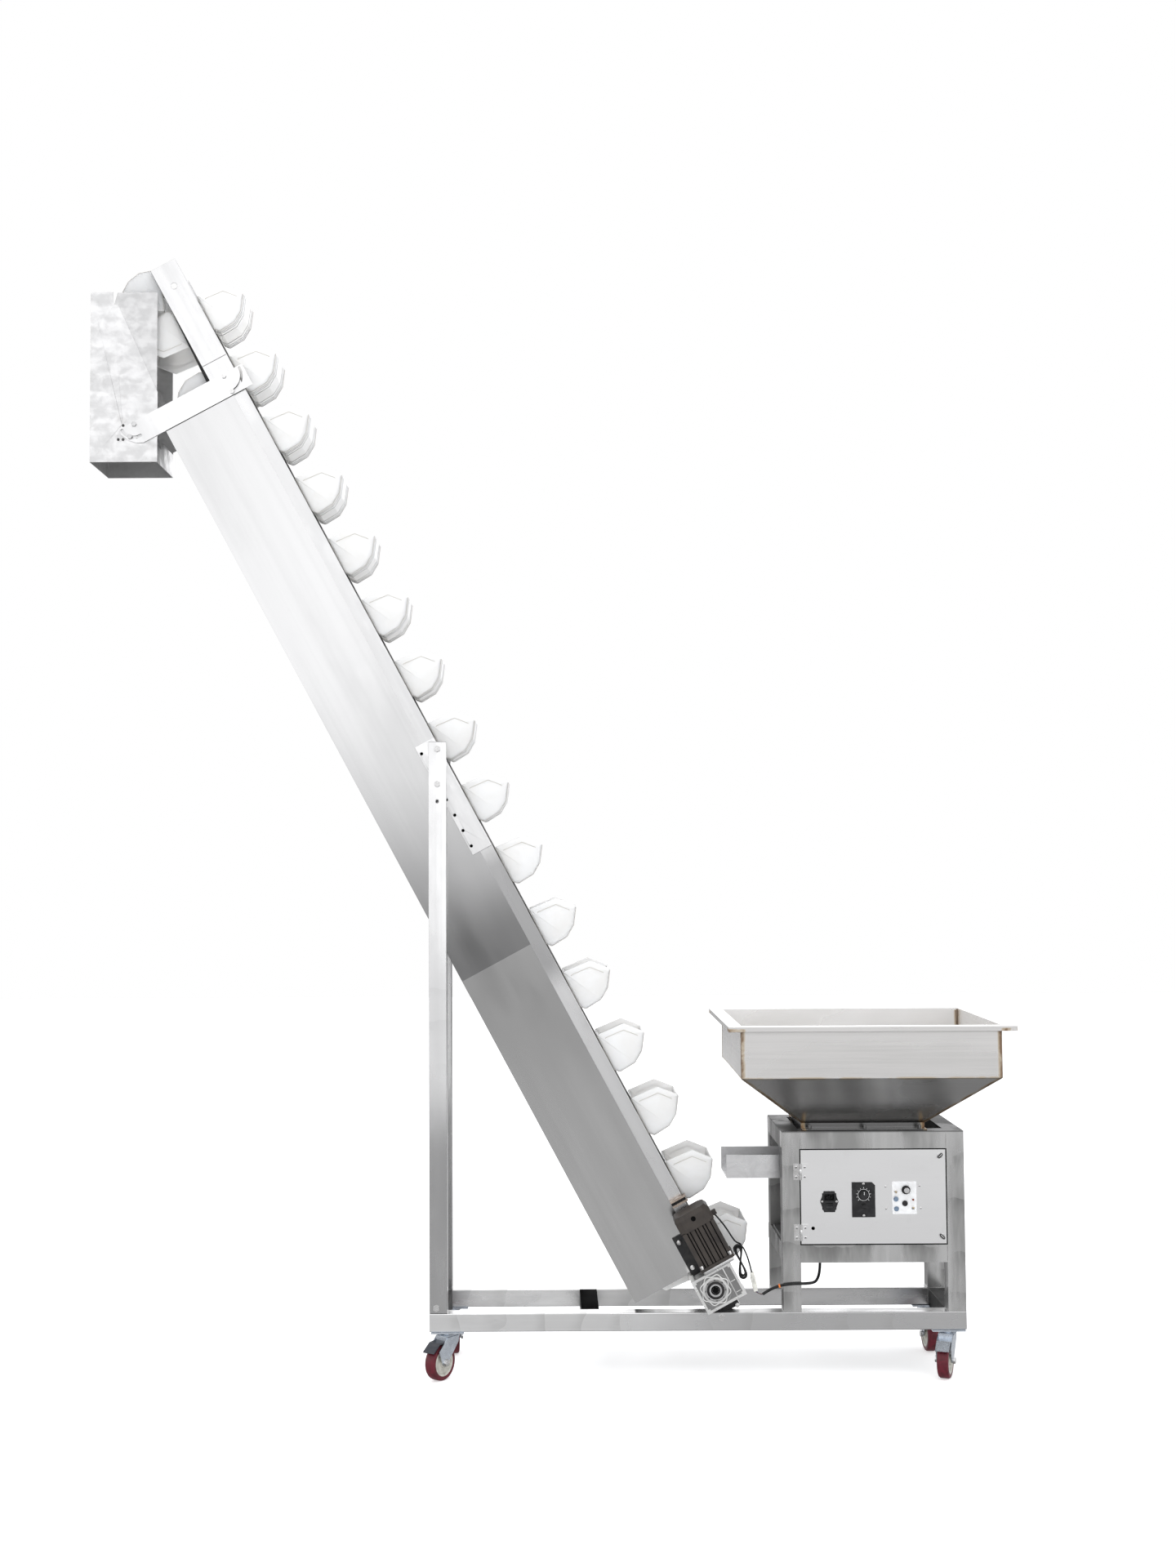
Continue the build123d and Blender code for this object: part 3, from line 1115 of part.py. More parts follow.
save("door_hinges", *door_hinges())
save("door_panel", *door_panel())
save("door_latch_upper", door_latch(LATCHES[0], -LATCH_TURN))
save("door_latch_lower", door_latch(LATCHES[1], LATCH_TURN))
save("power_inlet", power_inlet())
save("inlet_rocker", rocker(ROCKER, ROCKER_WIDTH, ROCKER_HEIGHT))
save("speed_controller", speed_controller())
save("speed_knob", speed_knob())
save("run_switch", rocker(RUN_SWITCH, RUN_WIDTH, RUN_HEIGHT))
save("feeder_panel", *feeder_panel())
save("output_knob", output_knob())
save("feeder_power_switch", toggle(TOGGLES[0], -TOGGLE_TIP))
save("feeder_mode_switch", toggle(TOGGLES[1], TOGGLE_TIP))
save("motor_lead", motor_lead())
save("motor_lead_hank", motor_lead_hank())
save("lead_connector", lead_connector())
save("control_lead", cord_tube(CONTROL_ROUTE, CORD_CONTROL))
save("cable_tie", cable_tie())
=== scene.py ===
"""Looks of an inclined bucket conveyor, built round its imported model.

Pieces are drawn in millimetres in the maker's own frame, whose X starts at the left end of the base, and
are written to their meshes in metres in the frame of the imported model. Belt pieces are drawn by three
numbers: s up the incline, n out of the carrying side and y across the machine.
"""
from __future__ import annotations

import logging
import math
from dataclasses import dataclass, field
from enum import Enum
from typing import Any, ClassVar, Iterable, Sequence

import bpy
import numpy as np
from mathutils import Matrix, Vector

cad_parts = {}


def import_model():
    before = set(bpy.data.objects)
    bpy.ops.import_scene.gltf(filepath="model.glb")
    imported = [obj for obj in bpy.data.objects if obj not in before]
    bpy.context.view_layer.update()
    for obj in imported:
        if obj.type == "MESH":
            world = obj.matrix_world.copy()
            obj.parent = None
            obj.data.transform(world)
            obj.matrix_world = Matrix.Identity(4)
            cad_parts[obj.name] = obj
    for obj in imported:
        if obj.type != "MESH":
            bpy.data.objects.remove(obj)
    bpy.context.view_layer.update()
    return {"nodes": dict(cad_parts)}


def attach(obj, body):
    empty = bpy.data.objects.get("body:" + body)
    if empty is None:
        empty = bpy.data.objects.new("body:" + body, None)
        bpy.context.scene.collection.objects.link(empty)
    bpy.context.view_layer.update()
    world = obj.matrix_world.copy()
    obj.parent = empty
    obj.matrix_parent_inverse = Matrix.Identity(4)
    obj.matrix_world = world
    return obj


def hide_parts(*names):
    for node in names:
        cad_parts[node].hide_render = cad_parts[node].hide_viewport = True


LOG = logging.getLogger("conveyor")
Array = np.ndarray
Axes = tuple[Array, Array, Array]
Pair = tuple[float, float]
Pairs = tuple[Pair, ...]
Place = tuple[float, float, float]
MM = 0.001
X_CENTRE = 320.5
ORIGIN = np.array([X_CENTRE, 0.0, 0.0])
PLAIN_AXES = ((1, 0, 0), (0, 1, 0), (0, 0, 1))
FRONT = np.array([0.0, -1.0, 0.0])
SIDES = (-1, 1)
TINY = 1e-12


@dataclass(frozen=True)
class Incline:
    """The belt's own frame: the lower shaft's place and the angle of the rails."""

    tail_x: float = 796.0
    tail_z: float = 252.0
    degrees: float = 61.8
    shaft_centres: float = 3251.2

    @property
    def up(self) -> Array:
        """Direction up the incline."""
        angle = math.radians(self.degrees)
        return np.array([-math.cos(angle), 0.0, math.sin(angle)])

    @property
    def out(self) -> Array:
        """Direction out of the carrying side."""
        angle = math.radians(self.degrees)
        return np.array([math.sin(angle), 0.0, math.cos(angle)])

    def place(self, s: Any, n: Any, y: Any) -> Array:
        """Points of the belt frame in the maker's frame.

        Args:
            s: Distances up the incline.
            n: Distances out of the carrying side.
            y: Distances across the machine.

        Returns:
            An array of points, three numbers each: tail + s * up + n * out + y * across.
        """
        s, n, y = np.broadcast_arrays(*(np.asarray(v, float) for v in (s, n, y)))
        base = np.array([self.tail_x, 0.0, self.tail_z])
        across = np.array([0.0, 1.0, 0.0])
        return base + s[..., None] * self.up + n[..., None] * self.out + y[..., None] * across


BELT = Incline()


def in_metres(points: Any) -> Array:
    """Points of the maker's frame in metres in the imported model's frame: (p - origin) / 1000."""
    return (np.asarray(points, float) - ORIGIN) * MM


# Surfaces


def rounded_outline(corners: Sequence[Sequence[float]], radii: float | Sequence[float],
                    steps: int = 5) -> Array:
    """Closed outline whose corners are arcs.

    At each corner the arc touches both sides; its points are centre + radius * (cos a, sin a), with a
    running evenly between the two touching points.

    Args:
        corners: Corner points in order, two numbers each.
        radii: One radius for all corners, or one for each.
        steps: Points on each arc.

    Returns:
        Points of the outline, steps for each corner.
    """
    p = np.array(corners, float)
    r = np.broadcast_to(np.asarray(radii, float), (len(p),))[:, None]
    before = np.roll(p, 1, axis=0) - p
    after = np.roll(p, -1, axis=0) - p
    before /= np.linalg.norm(before, axis=1, keepdims=True)
    after /= np.linalg.norm(after, axis=1, keepdims=True)
    half = np.arccos(np.clip((before * after).sum(1, keepdims=True), -1, 1)) / 2
    middle = before + after
    middle /= np.linalg.norm(middle, axis=1, keepdims=True)
    centre = p + middle * r / np.sin(half)
    start = p + before * r / np.tan(half) - centre
    end = p + after * r / np.tan(half) - centre
    a0 = np.arctan2(start[:, 1], start[:, 0])
    turn = (np.arctan2(end[:, 1], end[:, 0]) - a0 + math.pi) % (2 * math.pi) - math.pi
    share = np.linspace(0, 1, steps)
    angle = a0[:, None] + turn[:, None] * share
    arc = centre[:, None, :] + r[:, :, None] * np.stack([np.cos(angle), np.sin(angle)], axis=-1)
    return arc.reshape(-1, 2)


def oblong(low: Sequence[float], high: Sequence[float], radius: float, steps: int) -> Array:
    """Rectangle with rounded corners, between its lowest and its highest corner."""
    return rounded_outline([low, (high[0], low[1]), high, (low[0], high[1])], radius, steps)


def centred(half_a: float, half_b: float, radius: float, steps: int) -> Array:
    """Rectangle with rounded corners about zero, by half its length and half its width."""
    return oblong((-half_a, -half_b), (half_a, half_b), radius, steps)


def circle(radius: float, count: int) -> Array:
    """Points of a circle, counterclockwise: radius * (cos a, sin a)."""
    angle = np.linspace(0, 2 * math.pi, count, endpoint=False)
    return radius * np.stack([np.cos(angle), np.sin(angle)], axis=1)


def polygon(across: float, sides: int, turn: float = 0.0) -> Array:
    """Regular polygon by the distance across its flats, with its first corner at an angle."""
    angle = turn + np.arange(sides) * 2 * math.pi / sides
    return across / 2 / math.cos(math.pi / sides) * np.stack([np.cos(angle), np.sin(angle)], axis=1)


def grid_quads(rows: int, columns: int, close_rows: bool = False, close_columns: bool = False) -> Array:
    """Four-sided faces of a grid of points.

    Args:
        rows: Number of rows of points.
        columns: Number of points in a row.
        close_rows: Join the last row to the first.
        close_columns: Join the end of each row to its start.

    Returns:
        An array of faces, each of four indices into the flattened grid.
    """
    i = np.arange(rows if close_rows else rows - 1)
    j = np.arange(columns if close_columns else columns - 1)
    i, j = np.meshgrid(i, j, indexing="ij")
    i2, j2 = (i + 1) % rows, (j + 1) % columns
    quads = np.stack([i * columns + j, i * columns + j2, i2 * columns + j2, i2 * columns + j], axis=-1)
    return quads.reshape(-1, 4)


def axes_for(direction: Sequence[float]) -> Axes:
    """Two directions square to a third, and the third, all of unit length.

    Args:
        direction: The third direction.

    Returns:
        Side, up and forward directions, right-handed.
    """
    forward = np.array(direction, float)
    forward /= np.linalg.norm(forward)
    helper = np.array([0.0, 0.0, 1.0]) if abs(forward[2]) < 0.9 else np.array([1.0, 0.0, 0.0])
    side = np.cross(helper, forward)
    side /= np.linalg.norm(side)
    return side, np.cross(forward, side), forward


class Draft:
    """Gathers surfaces into one mesh, in the maker's frame."""

    WIDEST_BEVEL: ClassVar[float] = 0.48

    def __init__(self) -> None:
        self.points: list[Array] = []
        self.faces: list[Array] = []
        self.slots: list[Array] = []
        self.total = 0

    def add(self, points: Array, faces: Array | Iterable[Array], slot: int = 0) -> None:
        """Adds a surface.

        Args:
            points: Its points, three numbers each, in any shape of array.
            faces: One array of faces, or several with other numbers of corners.
            slot: Number of its material.
        """
        flat = np.asarray(points, float).reshape(-1, 3)
        groups = [faces] if isinstance(faces, np.ndarray) else list(faces)
        for group in groups:
            if len(group):
                self.faces.append(np.asarray(group, int) + self.total)
                self.slots.append(np.full(len(group), slot))
        self.points.append(flat)
        self.total += len(flat)

    def grid(self, points: Array, close_rows: bool = False, close_columns: bool = False,
             caps: bool = False, slot: int = 0) -> None:
        """Adds a grid surface, with flat caps on its first and last rows if they are wanted.

        Args:
            points: Grid of points, rows by columns by three.
            close_rows: Join the last row to the first.
            close_columns: Join the end of each row to its start.
            caps: Close both ends with one face each.
            slot: Number of its material.
        """
        rows, columns = points.shape[:2]
        groups = [grid_quads(rows, columns, close_rows, close_columns)]
        if caps:
            ring = np.arange(columns)
            groups += [ring[::-1][None], (ring + (rows - 1) * columns)[None]]
        self.add(points, groups, slot)

    def prism(self, outline: Array, origin: Sequence[float], axes: Sequence[Sequence[float]],
              depth: float, bevel: float = 0.0, slot: int = 0) -> None:
        """Adds an outline carried straight along, with softened edges.

        Rows of the grid are the outline drawn in towards its middle by the bevel at both ends.

        Args:
            outline: Points in the plane of the first two axes.
            origin: Place of the outline's zero.
            axes: Two axes of the plane and the direction of the depth.
            depth: Length along the third axis.
            bevel: Size of the softened edge.
            slot: Number of its material.
        """
        a, b, c = (np.array(axis, float) for axis in axes)
        if np.dot(np.cross(a, b), c) * signed_area(outline) * depth < 0:
            outline = outline[::-1]
        bevel = min(bevel, self.WIDEST_BEVEL * abs(depth))
        near = [(0.0, bevel), (bevel * 0.3, bevel * 0.3), (bevel, 0.0)] if bevel else [(0.0, 0.0)]
        rings = []
        for height, inset in near + [(abs(depth) - h, inset) for h, inset in reversed(near)]:
            ring = inset_outline(outline, inset) if inset else outline
            lift = math.copysign(height, depth)
            rings.append(np.array(origin) + ring[:, :1] * a + ring[:, 1:] * b + lift * c)
        self.grid(np.array(rings), close_columns=True, caps=True, slot=slot)

    def box(self, low: Sequence[float], high: Sequence[float], bevel: float) -> None:
        """Adds a block with softened edges.

        Args:
            low: Its lowest corner.
            high: Its highest corner.
            bevel: Size of the softened edge.
        """
        x, y = (low[0] + high[0]) / 2, (low[1] + high[1]) / 2
        dx, dy = abs(high[0] - low[0]) / 2, abs(high[1] - low[1]) / 2
        corner = min(bevel, dx * 0.5, dy * 0.5)
        self.prism(centred(dx, dy, corner, 3), (x, y, low[2]), PLAIN_AXES, high[2] - low[2], corner)

    def turned(self, profile: Sequence[Sequence[float]], origin: Sequence[float],
               axis: Sequence[float], count: int = 32, slot: int = 0) -> None:
        """Adds a turned shape: points (radius, height) carried round an axis.

        Args:
            profile: Radius and height of each row; its end is joined to its start.
            origin: Place of height zero on the axis.
            axis: Direction of the axis.
            count: Points round the axis.
            slot: Number of its material.
        """
        side, up, forward = axes_for(axis)
        rh = np.array(profile, float)
        if signed_area(rh) < 0:
            rh = rh[::-1]
        angle = np.linspace(0, 2 * math.pi, count, endpoint=False)
        ring = np.cos(angle)[:, None] * side + np.sin(angle)[:, None] * up
        points = np.array(origin) + rh[:, :1, None] * ring + rh[:, 1:, None] * forward
        self.grid(points, close_rows=not np.allclose(rh[0], rh[-1]), close_columns=True, slot=slot)

    def along(self, path: Array, radius: float | Array, count: int, slot: int = 0,
              closed: bool = False) -> None:
        """Adds a round bar along a path, its rings kept square to the path.

        Args:
            path: Points of the centre line.
            radius: One radius, or one for each point.
            count: Points round the bar.
            slot: Number of its material.
            closed: The path ends where it starts.
        """
        path = np.asarray(path, float)
        if closed:
            tangent = np.roll(path, -1, axis=0) - np.roll(path, 1, axis=0)
        else:
            tangent = np.gradient(path, axis=0)
        tangent /= np.linalg.norm(tangent, axis=1, keepdims=True)
        side = steady_sides(tangent)
        up = np.cross(tangent, side)
        angle = np.linspace(0, 2 * math.pi, count, endpoint=False)
        r = np.broadcast_to(np.asarray(radius, float), (len(path),))[:, None, None]
        ring = np.cos(angle)[:, None] * side[:, None] + np.sin(angle)[:, None] * up[:, None]
        self.grid(path[:, None] + r * ring, closed, True, caps=not closed, slot=slot)

    def object(self, name: str, smooth: float = 32.0) -> bpy.types.Object:
        """Makes the Blender object, at the origin, unturned and unscaled.

        Args:
            name: Name of the piece.
            smooth: Edges that turn by more than this many degrees stay sharp.

        Returns:
            The object, linked to the scene.
        """
        mesh = bpy.data.meshes.new(name)
        points = in_metres(np.concatenate(self.points))
        loops = np.concatenate([group.ravel() for group in self.faces])
        sizes = np.concatenate([np.full(len(group), group.shape[1]) for group in self.faces])
        starts = np.concatenate([[0], np.cumsum(sizes)[:-1]])
        mesh.vertices.add(len(points))
        mesh.vertices.foreach_set("co", points.astype(np.float32).ravel())
        mesh.loops.add(len(loops))
        mesh.loops.foreach_set("vertex_index", loops.astype(np.int32))
        mesh.polygons.add(len(sizes))
        mesh.polygons.foreach_set("loop_start", starts.astype(np.int32))
        mesh.polygons.foreach_set("material_index", np.concatenate(self.slots).astype(np.int32))
        mesh.polygons.foreach_set("use_smooth", np.ones(len(sizes), bool))
        mesh.update(calc_edges=True)
        mesh.validate()
        mesh.set_sharp_from_angle(angle=math.radians(smooth))
        return linked(name, mesh)


def linked(name: str, data: bpy.types.ID) -> bpy.types.Object:
    """Makes an object and links it to the scene.

    Args:
        name: Its name.
        data: The mesh, curve, lamp or camera that it shows.

    Returns:
        The new object.
    """
    made = bpy.data.objects.new(name, data)
    bpy.context.scene.collection.objects.link(made)
    return made


def signed_area(outline: Array) -> float:
    """Area of an outline, positive when it runs counterclockwise."""
    x, y = outline[:, 0], outline[:, 1]
    return float((x * np.roll(y, -1) - np.roll(x, -1) * y).sum() / 2)


def inset_outline(outline: Array, inset: float) -> Array:
    """Outline drawn in evenly: each point moves by inset / cos(half the bend) along the mean normal.

    Args:
        outline: Points of the outline.
        inset: How far its sides move inwards.

    Returns:
        As many points, none moved by more than twice the inset.
    """
    sign = 1.0 if signed_area(outline) > 0 else -1.0
    edge = np.roll(outline, -1, axis=0) - outline
    normal = np.stack([-edge[:, 1], edge[:, 0]], axis=1) * sign
    normal /= np.linalg.norm(normal, axis=1, keepdims=True) + TINY
    mean = normal + np.roll(normal, 1, axis=0)
    length = np.linalg.norm(mean, axis=1, keepdims=True)
    mean /= length + TINY
    return outline + mean * inset / np.clip(length / 2, 0.5, 1)


def steady_sides(tangent: Array) -> Array:
    """Side directions along a path that turn as little as they can.

    Args:
        tangent: Unit directions of the path.

    Returns:
        For each point a unit vector square to the path, carried on from the point before.
    """
    side = np.zeros_like(tangent)
    side[0] = axes_for(tangent[0])[0]
    for k in range(1, len(tangent)):
        flat = side[k - 1] - tangent[k] * np.dot(side[k - 1], tangent[k])
        side[k] = flat / np.linalg.norm(flat)
    return side


# Finishes

Colour = tuple[float, float, float]
Socket = bpy.types.NodeSocket


def grey(level: float) -> Colour:
    """A colour with no hue."""
    return (level, level, level)


def dimmed(colour: Colour, share: float) -> Colour:
    """A colour with each of its numbers lowered to a share."""
    return tuple(share * c for c in colour)


class Nodes:
    """A tree of shader nodes, written in short calls."""

    def __init__(self, tree: bpy.types.NodeTree) -> None:
        self.tree = tree
        tree.nodes.clear()

    def node(self, kind: str, inputs: dict[Any, Any], **settings: Any) -> bpy.types.Node:
        """Adds a node.

        Args:
            kind: Blender's name of the node.
            inputs: Socket name or number, and the value or the socket that feeds it.
            **settings: The node's own settings.

        Returns:
            The new node.
        """
        made = self.tree.nodes.new(kind)
        for key, value in settings.items():
            setattr(made, key, value)
        for socket, value in inputs.items():
            self.feed(made.inputs[socket], value)
        return made

    def feed(self, socket: Socket, value: Any) -> None:
        """Links a socket to another, or sets its value.

        Args:
            socket: The socket that is fed.
            value: Another node's socket, or a plain value.
        """
        if isinstance(value, Socket):
            self.tree.links.new(value, socket)
        else:
            socket.default_value = value

    def noise(self, vector: Socket, scale: float, detail: float = 3.0, rough: float = 0.55,
              warp: float = 0.0) -> Socket:
        """Cloudy noise between about 0.2 and 0.8."""
        inputs = {"Vector": vector, "Scale": scale, "Detail": detail, "Roughness": rough, "Distortion": warp}
        return self.node("ShaderNodeTexNoise", inputs).outputs["Fac"]

    def steps(self, value: Any, low: float, high: float, out_low: float = 0.0,
              out_high: float = 1.0) -> Socket:
        """Smooth step of a value from one level to another."""
        inputs = {0: value, 1: low, 2: high, 3: out_low, 4: out_high}
        return self.node("ShaderNodeMapRange", inputs, interpolation_type="SMOOTHSTEP").outputs[0]

    def math(self, kind: str, a: Any, b: Any = 0.0) -> Socket:
        """One sum of two numbers."""
        return self.node("ShaderNodeMath", {0: a, 1: b}, operation=kind).outputs[0]

    def times(self, a: Any, b: Any) -> Socket:
        """Product of two numbers."""
        return self.math("MULTIPLY", a, b)

    def plus(self, a: Any, b: Any) -> Socket:
        """Sum of two numbers."""
        return self.math("ADD", a, b)

    def away(self, value: Any, middle: float) -> Socket:
        """Distance of a number from a middle one."""
        return self.math("ABSOLUTE", self.math("SUBTRACT", value, middle))

    def mix(self, share: Any, a: Any, b: Any) -> Socket:
        """Colour between two colours.

        Args:
            share: Share of the second one.
            a: Socket or colour.
            b: Socket or colour.

        Returns:
            The colour socket.
        """
        a, b = ((*v, 1.0) if isinstance(v, tuple) else v for v in (a, b))
        made = self.node("ShaderNodeMix", {}, data_type="RGBA")
        for socket, value in zip((made.inputs[0], made.inputs[6], made.inputs[7]), (share, a, b)):
            self.feed(socket, value)
        return made.outputs[2]


class Graph(Nodes):
    """A material's nodes, on the piece's own object coordinates."""

    def __init__(self, name: str) -> None:
        self.material = bpy.data.materials.new(name)
        self.material.use_nodes = True
        super().__init__(self.material.node_tree)
        self.shader = self.tree.nodes.new("ShaderNodeBsdfPrincipled")
        self.node("ShaderNodeOutputMaterial", {0: self.shader.outputs[0]})
        self.coords = self.tree.nodes.new("ShaderNodeTexCoord").outputs["Object"]

    def turned(self, grain: Grain, scale: Sequence[float]) -> Socket:
        """Coordinates turned to a grain about the origin, then stretched.

        Args:
            grain: How the grain runs.
            scale: Factors along the turned axes.

        Returns:
            The vector socket.
        """
        turn = tuple(math.radians(d) for d in grain.value)
        spun = self.node("ShaderNodeMapping", {0: self.coords, "Rotation": turn}).outputs[0]
        return self.node("ShaderNodeMapping", {0: spun, "Scale": tuple(scale)}).outputs[0]

    def from_tail(self, direction: Array) -> Socket:
        """Distance of a point from the belt's lower shaft along a direction, in metres.

        Args:
            direction: One of the belt frame's directions.

        Returns:
            The socket of point . direction - shaft . direction.
        """
        tail = in_metres(BELT.place(0.0, 0.0, 0.0))
        reach = self.node("ShaderNodeVectorMath", {0: self.coords, 1: tuple(direction)},
                          operation="DOT_PRODUCT").outputs["Value"]
        return self.math("SUBTRACT", reach, float(direction @ tail))

    def parts(self, vector: Socket | None = None) -> list[Socket]:
        """The three numbers of a vector, the piece's own coordinates by default."""
        return list(self.node("ShaderNodeSeparateXYZ", {0: vector or self.coords}).outputs)

    def bump(self, height: Socket, distance: float) -> None:
        """Gives the shader small relief, its depth in metres."""
        made = self.node("ShaderNodeBump", {"Height": height, "Distance": distance})
        self.feed(self.shader.inputs["Normal"], made.outputs[0])

    def give(self, **values: Any) -> None:
        """Sets or links the shader's sockets.

        Args:
            **values: Values or sockets, with underscores for the spaces in the sockets' names.
        """
        for name, value in values.items():
            if isinstance(value, tuple) and name != "Subsurface_Radius":
                value = (*value, 1.0)
            self.feed(self.shader.inputs[name.replace("_", " ")], value)


class Grain(Enum):
    """Ways that the grain of a sheet or tube runs, as turns that bring it along the first axis."""

    ALONG = (0.0, 0.0, 0.0)
    UPRIGHT = (0.0, 90.0, 0.0)
    ACROSS = (0.0, 0.0, -90.0)
    INCLINE = (0.0, 118.2, 0.0)


class Axis(Enum):
    """Directions that a painted shade is measured along: two of the machine's own, and up the incline."""

    LENGTH = 0
    HEIGHT = 2
    INCLINE = 3


@dataclass(frozen=True)
class PaintedShade:
    """Painted shade and painted reflection: a grey of the room laid into a bright sheet's colour.

    Its share goes from nothing at one distance from its middle to its whole at another, in metres.
    """

    axis: Axis
    middle: float
    clear: float
    full: float
    level: float
    share: float = 0.8

    def over(self, g: Graph, base: Socket) -> Socket:
        """Lays the shade over a colour.

        Args:
            g: The material's nodes.
            base: The colour.

        Returns:
            The shaded colour.
        """
        spot = g.from_tail(BELT.up) if self.axis is Axis.INCLINE else g.parts()[self.axis.value]
        share = g.steps(g.away(spot, self.middle), self.clear, self.full, 0.0, self.share)
        return g.mix(share, base, grey(self.level))


@dataclass(frozen=True)
class Steel:
    """Bare stainless steel: brush lines along its grain, clouds of polish, handling marks, and painted shades
    and reflections.

    The grain is noise stretched along the first axis; clouds and marks change the colour and the gloss.
    """

    name: str
    colour: Colour
    stain: Colour
    gloss: Pair = (0.20, 0.36)
    grain: Grain = Grain.ALONG
    lines: float = 1.0
    clouds: float = 0.5
    cloud_size: float = 0.12
    cloud_stretch: float = 0.35
    warp: float = 0.0
    marks: float = 0.0
    dirt: float = 0.10
    edge: float = 1.0
    streaks: float = 0.22
    # shade paints shade and a reflection of the room into the colour.
    shade: PaintedShade | None = None
    # under: painted near-black shade where a point lies lower than this on the axis out of the carrying side,
    # in metres.
    under: float | None = None
    lean: float = 0.0

    FINE: ClassVar[float] = 260.0
    STRETCH: ClassVar[float] = 0.012
    DIRT: ClassVar[Colour] = (0.33, 0.31, 0.29)
    STREAK_DIMMING: ClassVar[float] = 0.62
    MARK_DIMMING: ClassVar[float] = 0.55
    UNDER_SHADE_FADE: ClassVar[float] = 0.0003
    DEPTH: ClassVar[float] = 0.000005

    def coloured(self, g: Graph, patch: Socket, wide: Socket) -> Socket:
        """Colour with its clouds, dirt and wide streaks, and its painted shade and painted reflection.

        Args:
            g: The material's nodes.
            patch: Share of stain, from the clouds.
            wide: Noise of the wide streaks.

        Returns:
            The colour socket.
        """
        dirt = g.steps(g.noise(g.coords, 30.0, 4.0, 0.6), 0.56, 0.80)
        base = g.mix(g.times(patch, self.clouds), self.colour, self.stain)
        base = g.mix(g.times(dirt, self.dirt), base, self.DIRT)
        base = g.mix(g.steps(wide, 0.30, 0.72, 0.0, self.streaks), base,
                     dimmed(self.colour, self.STREAK_DIMMING))
        # Painted shade and painted reflection of the room, by place along one axis.
        if self.shade:
            base = self.shade.over(g, base)
        # Painted shade: near black below the set distance on the axis out of the carrying side.
        if self.under is not None:
            low = g.steps(g.from_tail(BELT.out), self.under + self.UNDER_SHADE_FADE, self.under)
            base = g.mix(low, base, grey(0.01))
        return base

    def scratches(self, g: Graph, cloud: Socket) -> Socket:
        """Curved handling marks: the upper part of a bent saw-tooth wave, where the clouds are thick.

        Args:
            g: The material's nodes.
            cloud: Noise of the clouds.

        Returns:
            The share of the marks.
        """
        waves = {"Vector": g.turned(self.grain, (1.0, 1.0, 1.0)), "Scale": 2.6, "Distortion": 5.0,
                 "Detail": 3.0, "Detail Scale": 1.6, "Detail Roughness": 0.6}
        swing = g.node("ShaderNodeTexWave", waves, wave_profile="SAW").outputs["Fac"]
        sweep = g.times(g.steps(swing, 0.55, 1.0), g.steps(cloud, 0.42, 0.60))
        return g.times(sweep, self.marks)

    def make(self) -> bpy.types.Material:
        """Builds the material.

        Returns:
            The material, under the finish's name.
        """
        g = Graph(self.name)
        along = g.turned(self.grain, (self.STRETCH, 1.0, 1.0))
        brush = g.noise(along, self.FINE, 4.0, 0.7)
        wide = g.noise(along, self.FINE / 9, 3.0, 0.6)
        cloudy = g.turned(self.grain, (self.cloud_stretch, 1.0, 1.0))
        cloud = g.noise(cloudy, 1 / self.cloud_size, 4.0, 0.58, self.warp)
        patch = g.steps(cloud, 0.36, 0.64)
        base = self.coloured(g, patch, wide)
        rough = g.steps(g.plus(g.times(patch, 0.55), g.times(wide, 0.45)), 0.1, 0.85, *self.gloss)
        if self.marks:
            scratch = self.scratches(g, cloud)
            base = g.mix(scratch, base, dimmed(self.stain, self.MARK_DIMMING))
            rough = g.plus(rough, g.times(scratch, 0.10))
        g.give(Base_Color=base, Metallic=1.0, Roughness=rough, Specular_Tint=grey(self.edge))
        height = g.times(brush, self.lines)
        if self.lean:
            height = g.plus(height, g.times(g.parts()[2], self.lean / self.DEPTH))
        g.bump(height, self.DEPTH)
        return g.material


@dataclass(frozen=True)
class Moulded:
    """Moulded plastic or rubber: soft skin with clouds of another shade and a fine orange-peel relief."""

    name: str
    colour: Colour
    shade: Colour
    rough: float = 0.4
    cloud_size: float = 0.03
    peel: float = 0.000008
    soft: float = 0.0
    glow: Colour = (0.02, 0.02, 0.02)
    depth: float = 0.004
    coat: float = 0.0
    shine: float = 0.5

    PEEL_SIZE: ClassVar[float] = 0.0015
    SCUFF: ClassVar[float] = 0.18
    COAT_ROUGHNESS: ClassVar[float] = 0.12

    def make(self) -> bpy.types.Material:
        """Builds the material.

        Returns:
            The material, under the finish's name.
        """
        g = Graph(self.name)
        cloud = g.steps(g.noise(g.coords, 1 / self.cloud_size, 4.0, 0.6, 0.5), 0.35, 0.7)
        scuff = g.steps(g.noise(g.coords, 2.7 / self.cloud_size, 5.0, 0.7, 1.2), 0.58, 0.78)
        worn = min(self.rough + self.SCUFF, 1.0)
        g.give(Base_Color=g.mix(cloud, self.colour, self.shade), Specular_IOR_Level=self.shine,
               Roughness=g.steps(scuff, 0.0, 1.0, self.rough, worn))
        if self.soft:
            g.give(Subsurface_Weight=self.soft, Subsurface_Scale=self.depth, Subsurface_Radius=self.glow)
        if self.coat:
            g.give(Coat_Weight=self.coat, Coat_Roughness=self.COAT_ROUGHNESS)
        g.bump(g.noise(g.coords, 1 / self.PEEL_SIZE, 3.0, 0.6), self.peel)
        return g.material


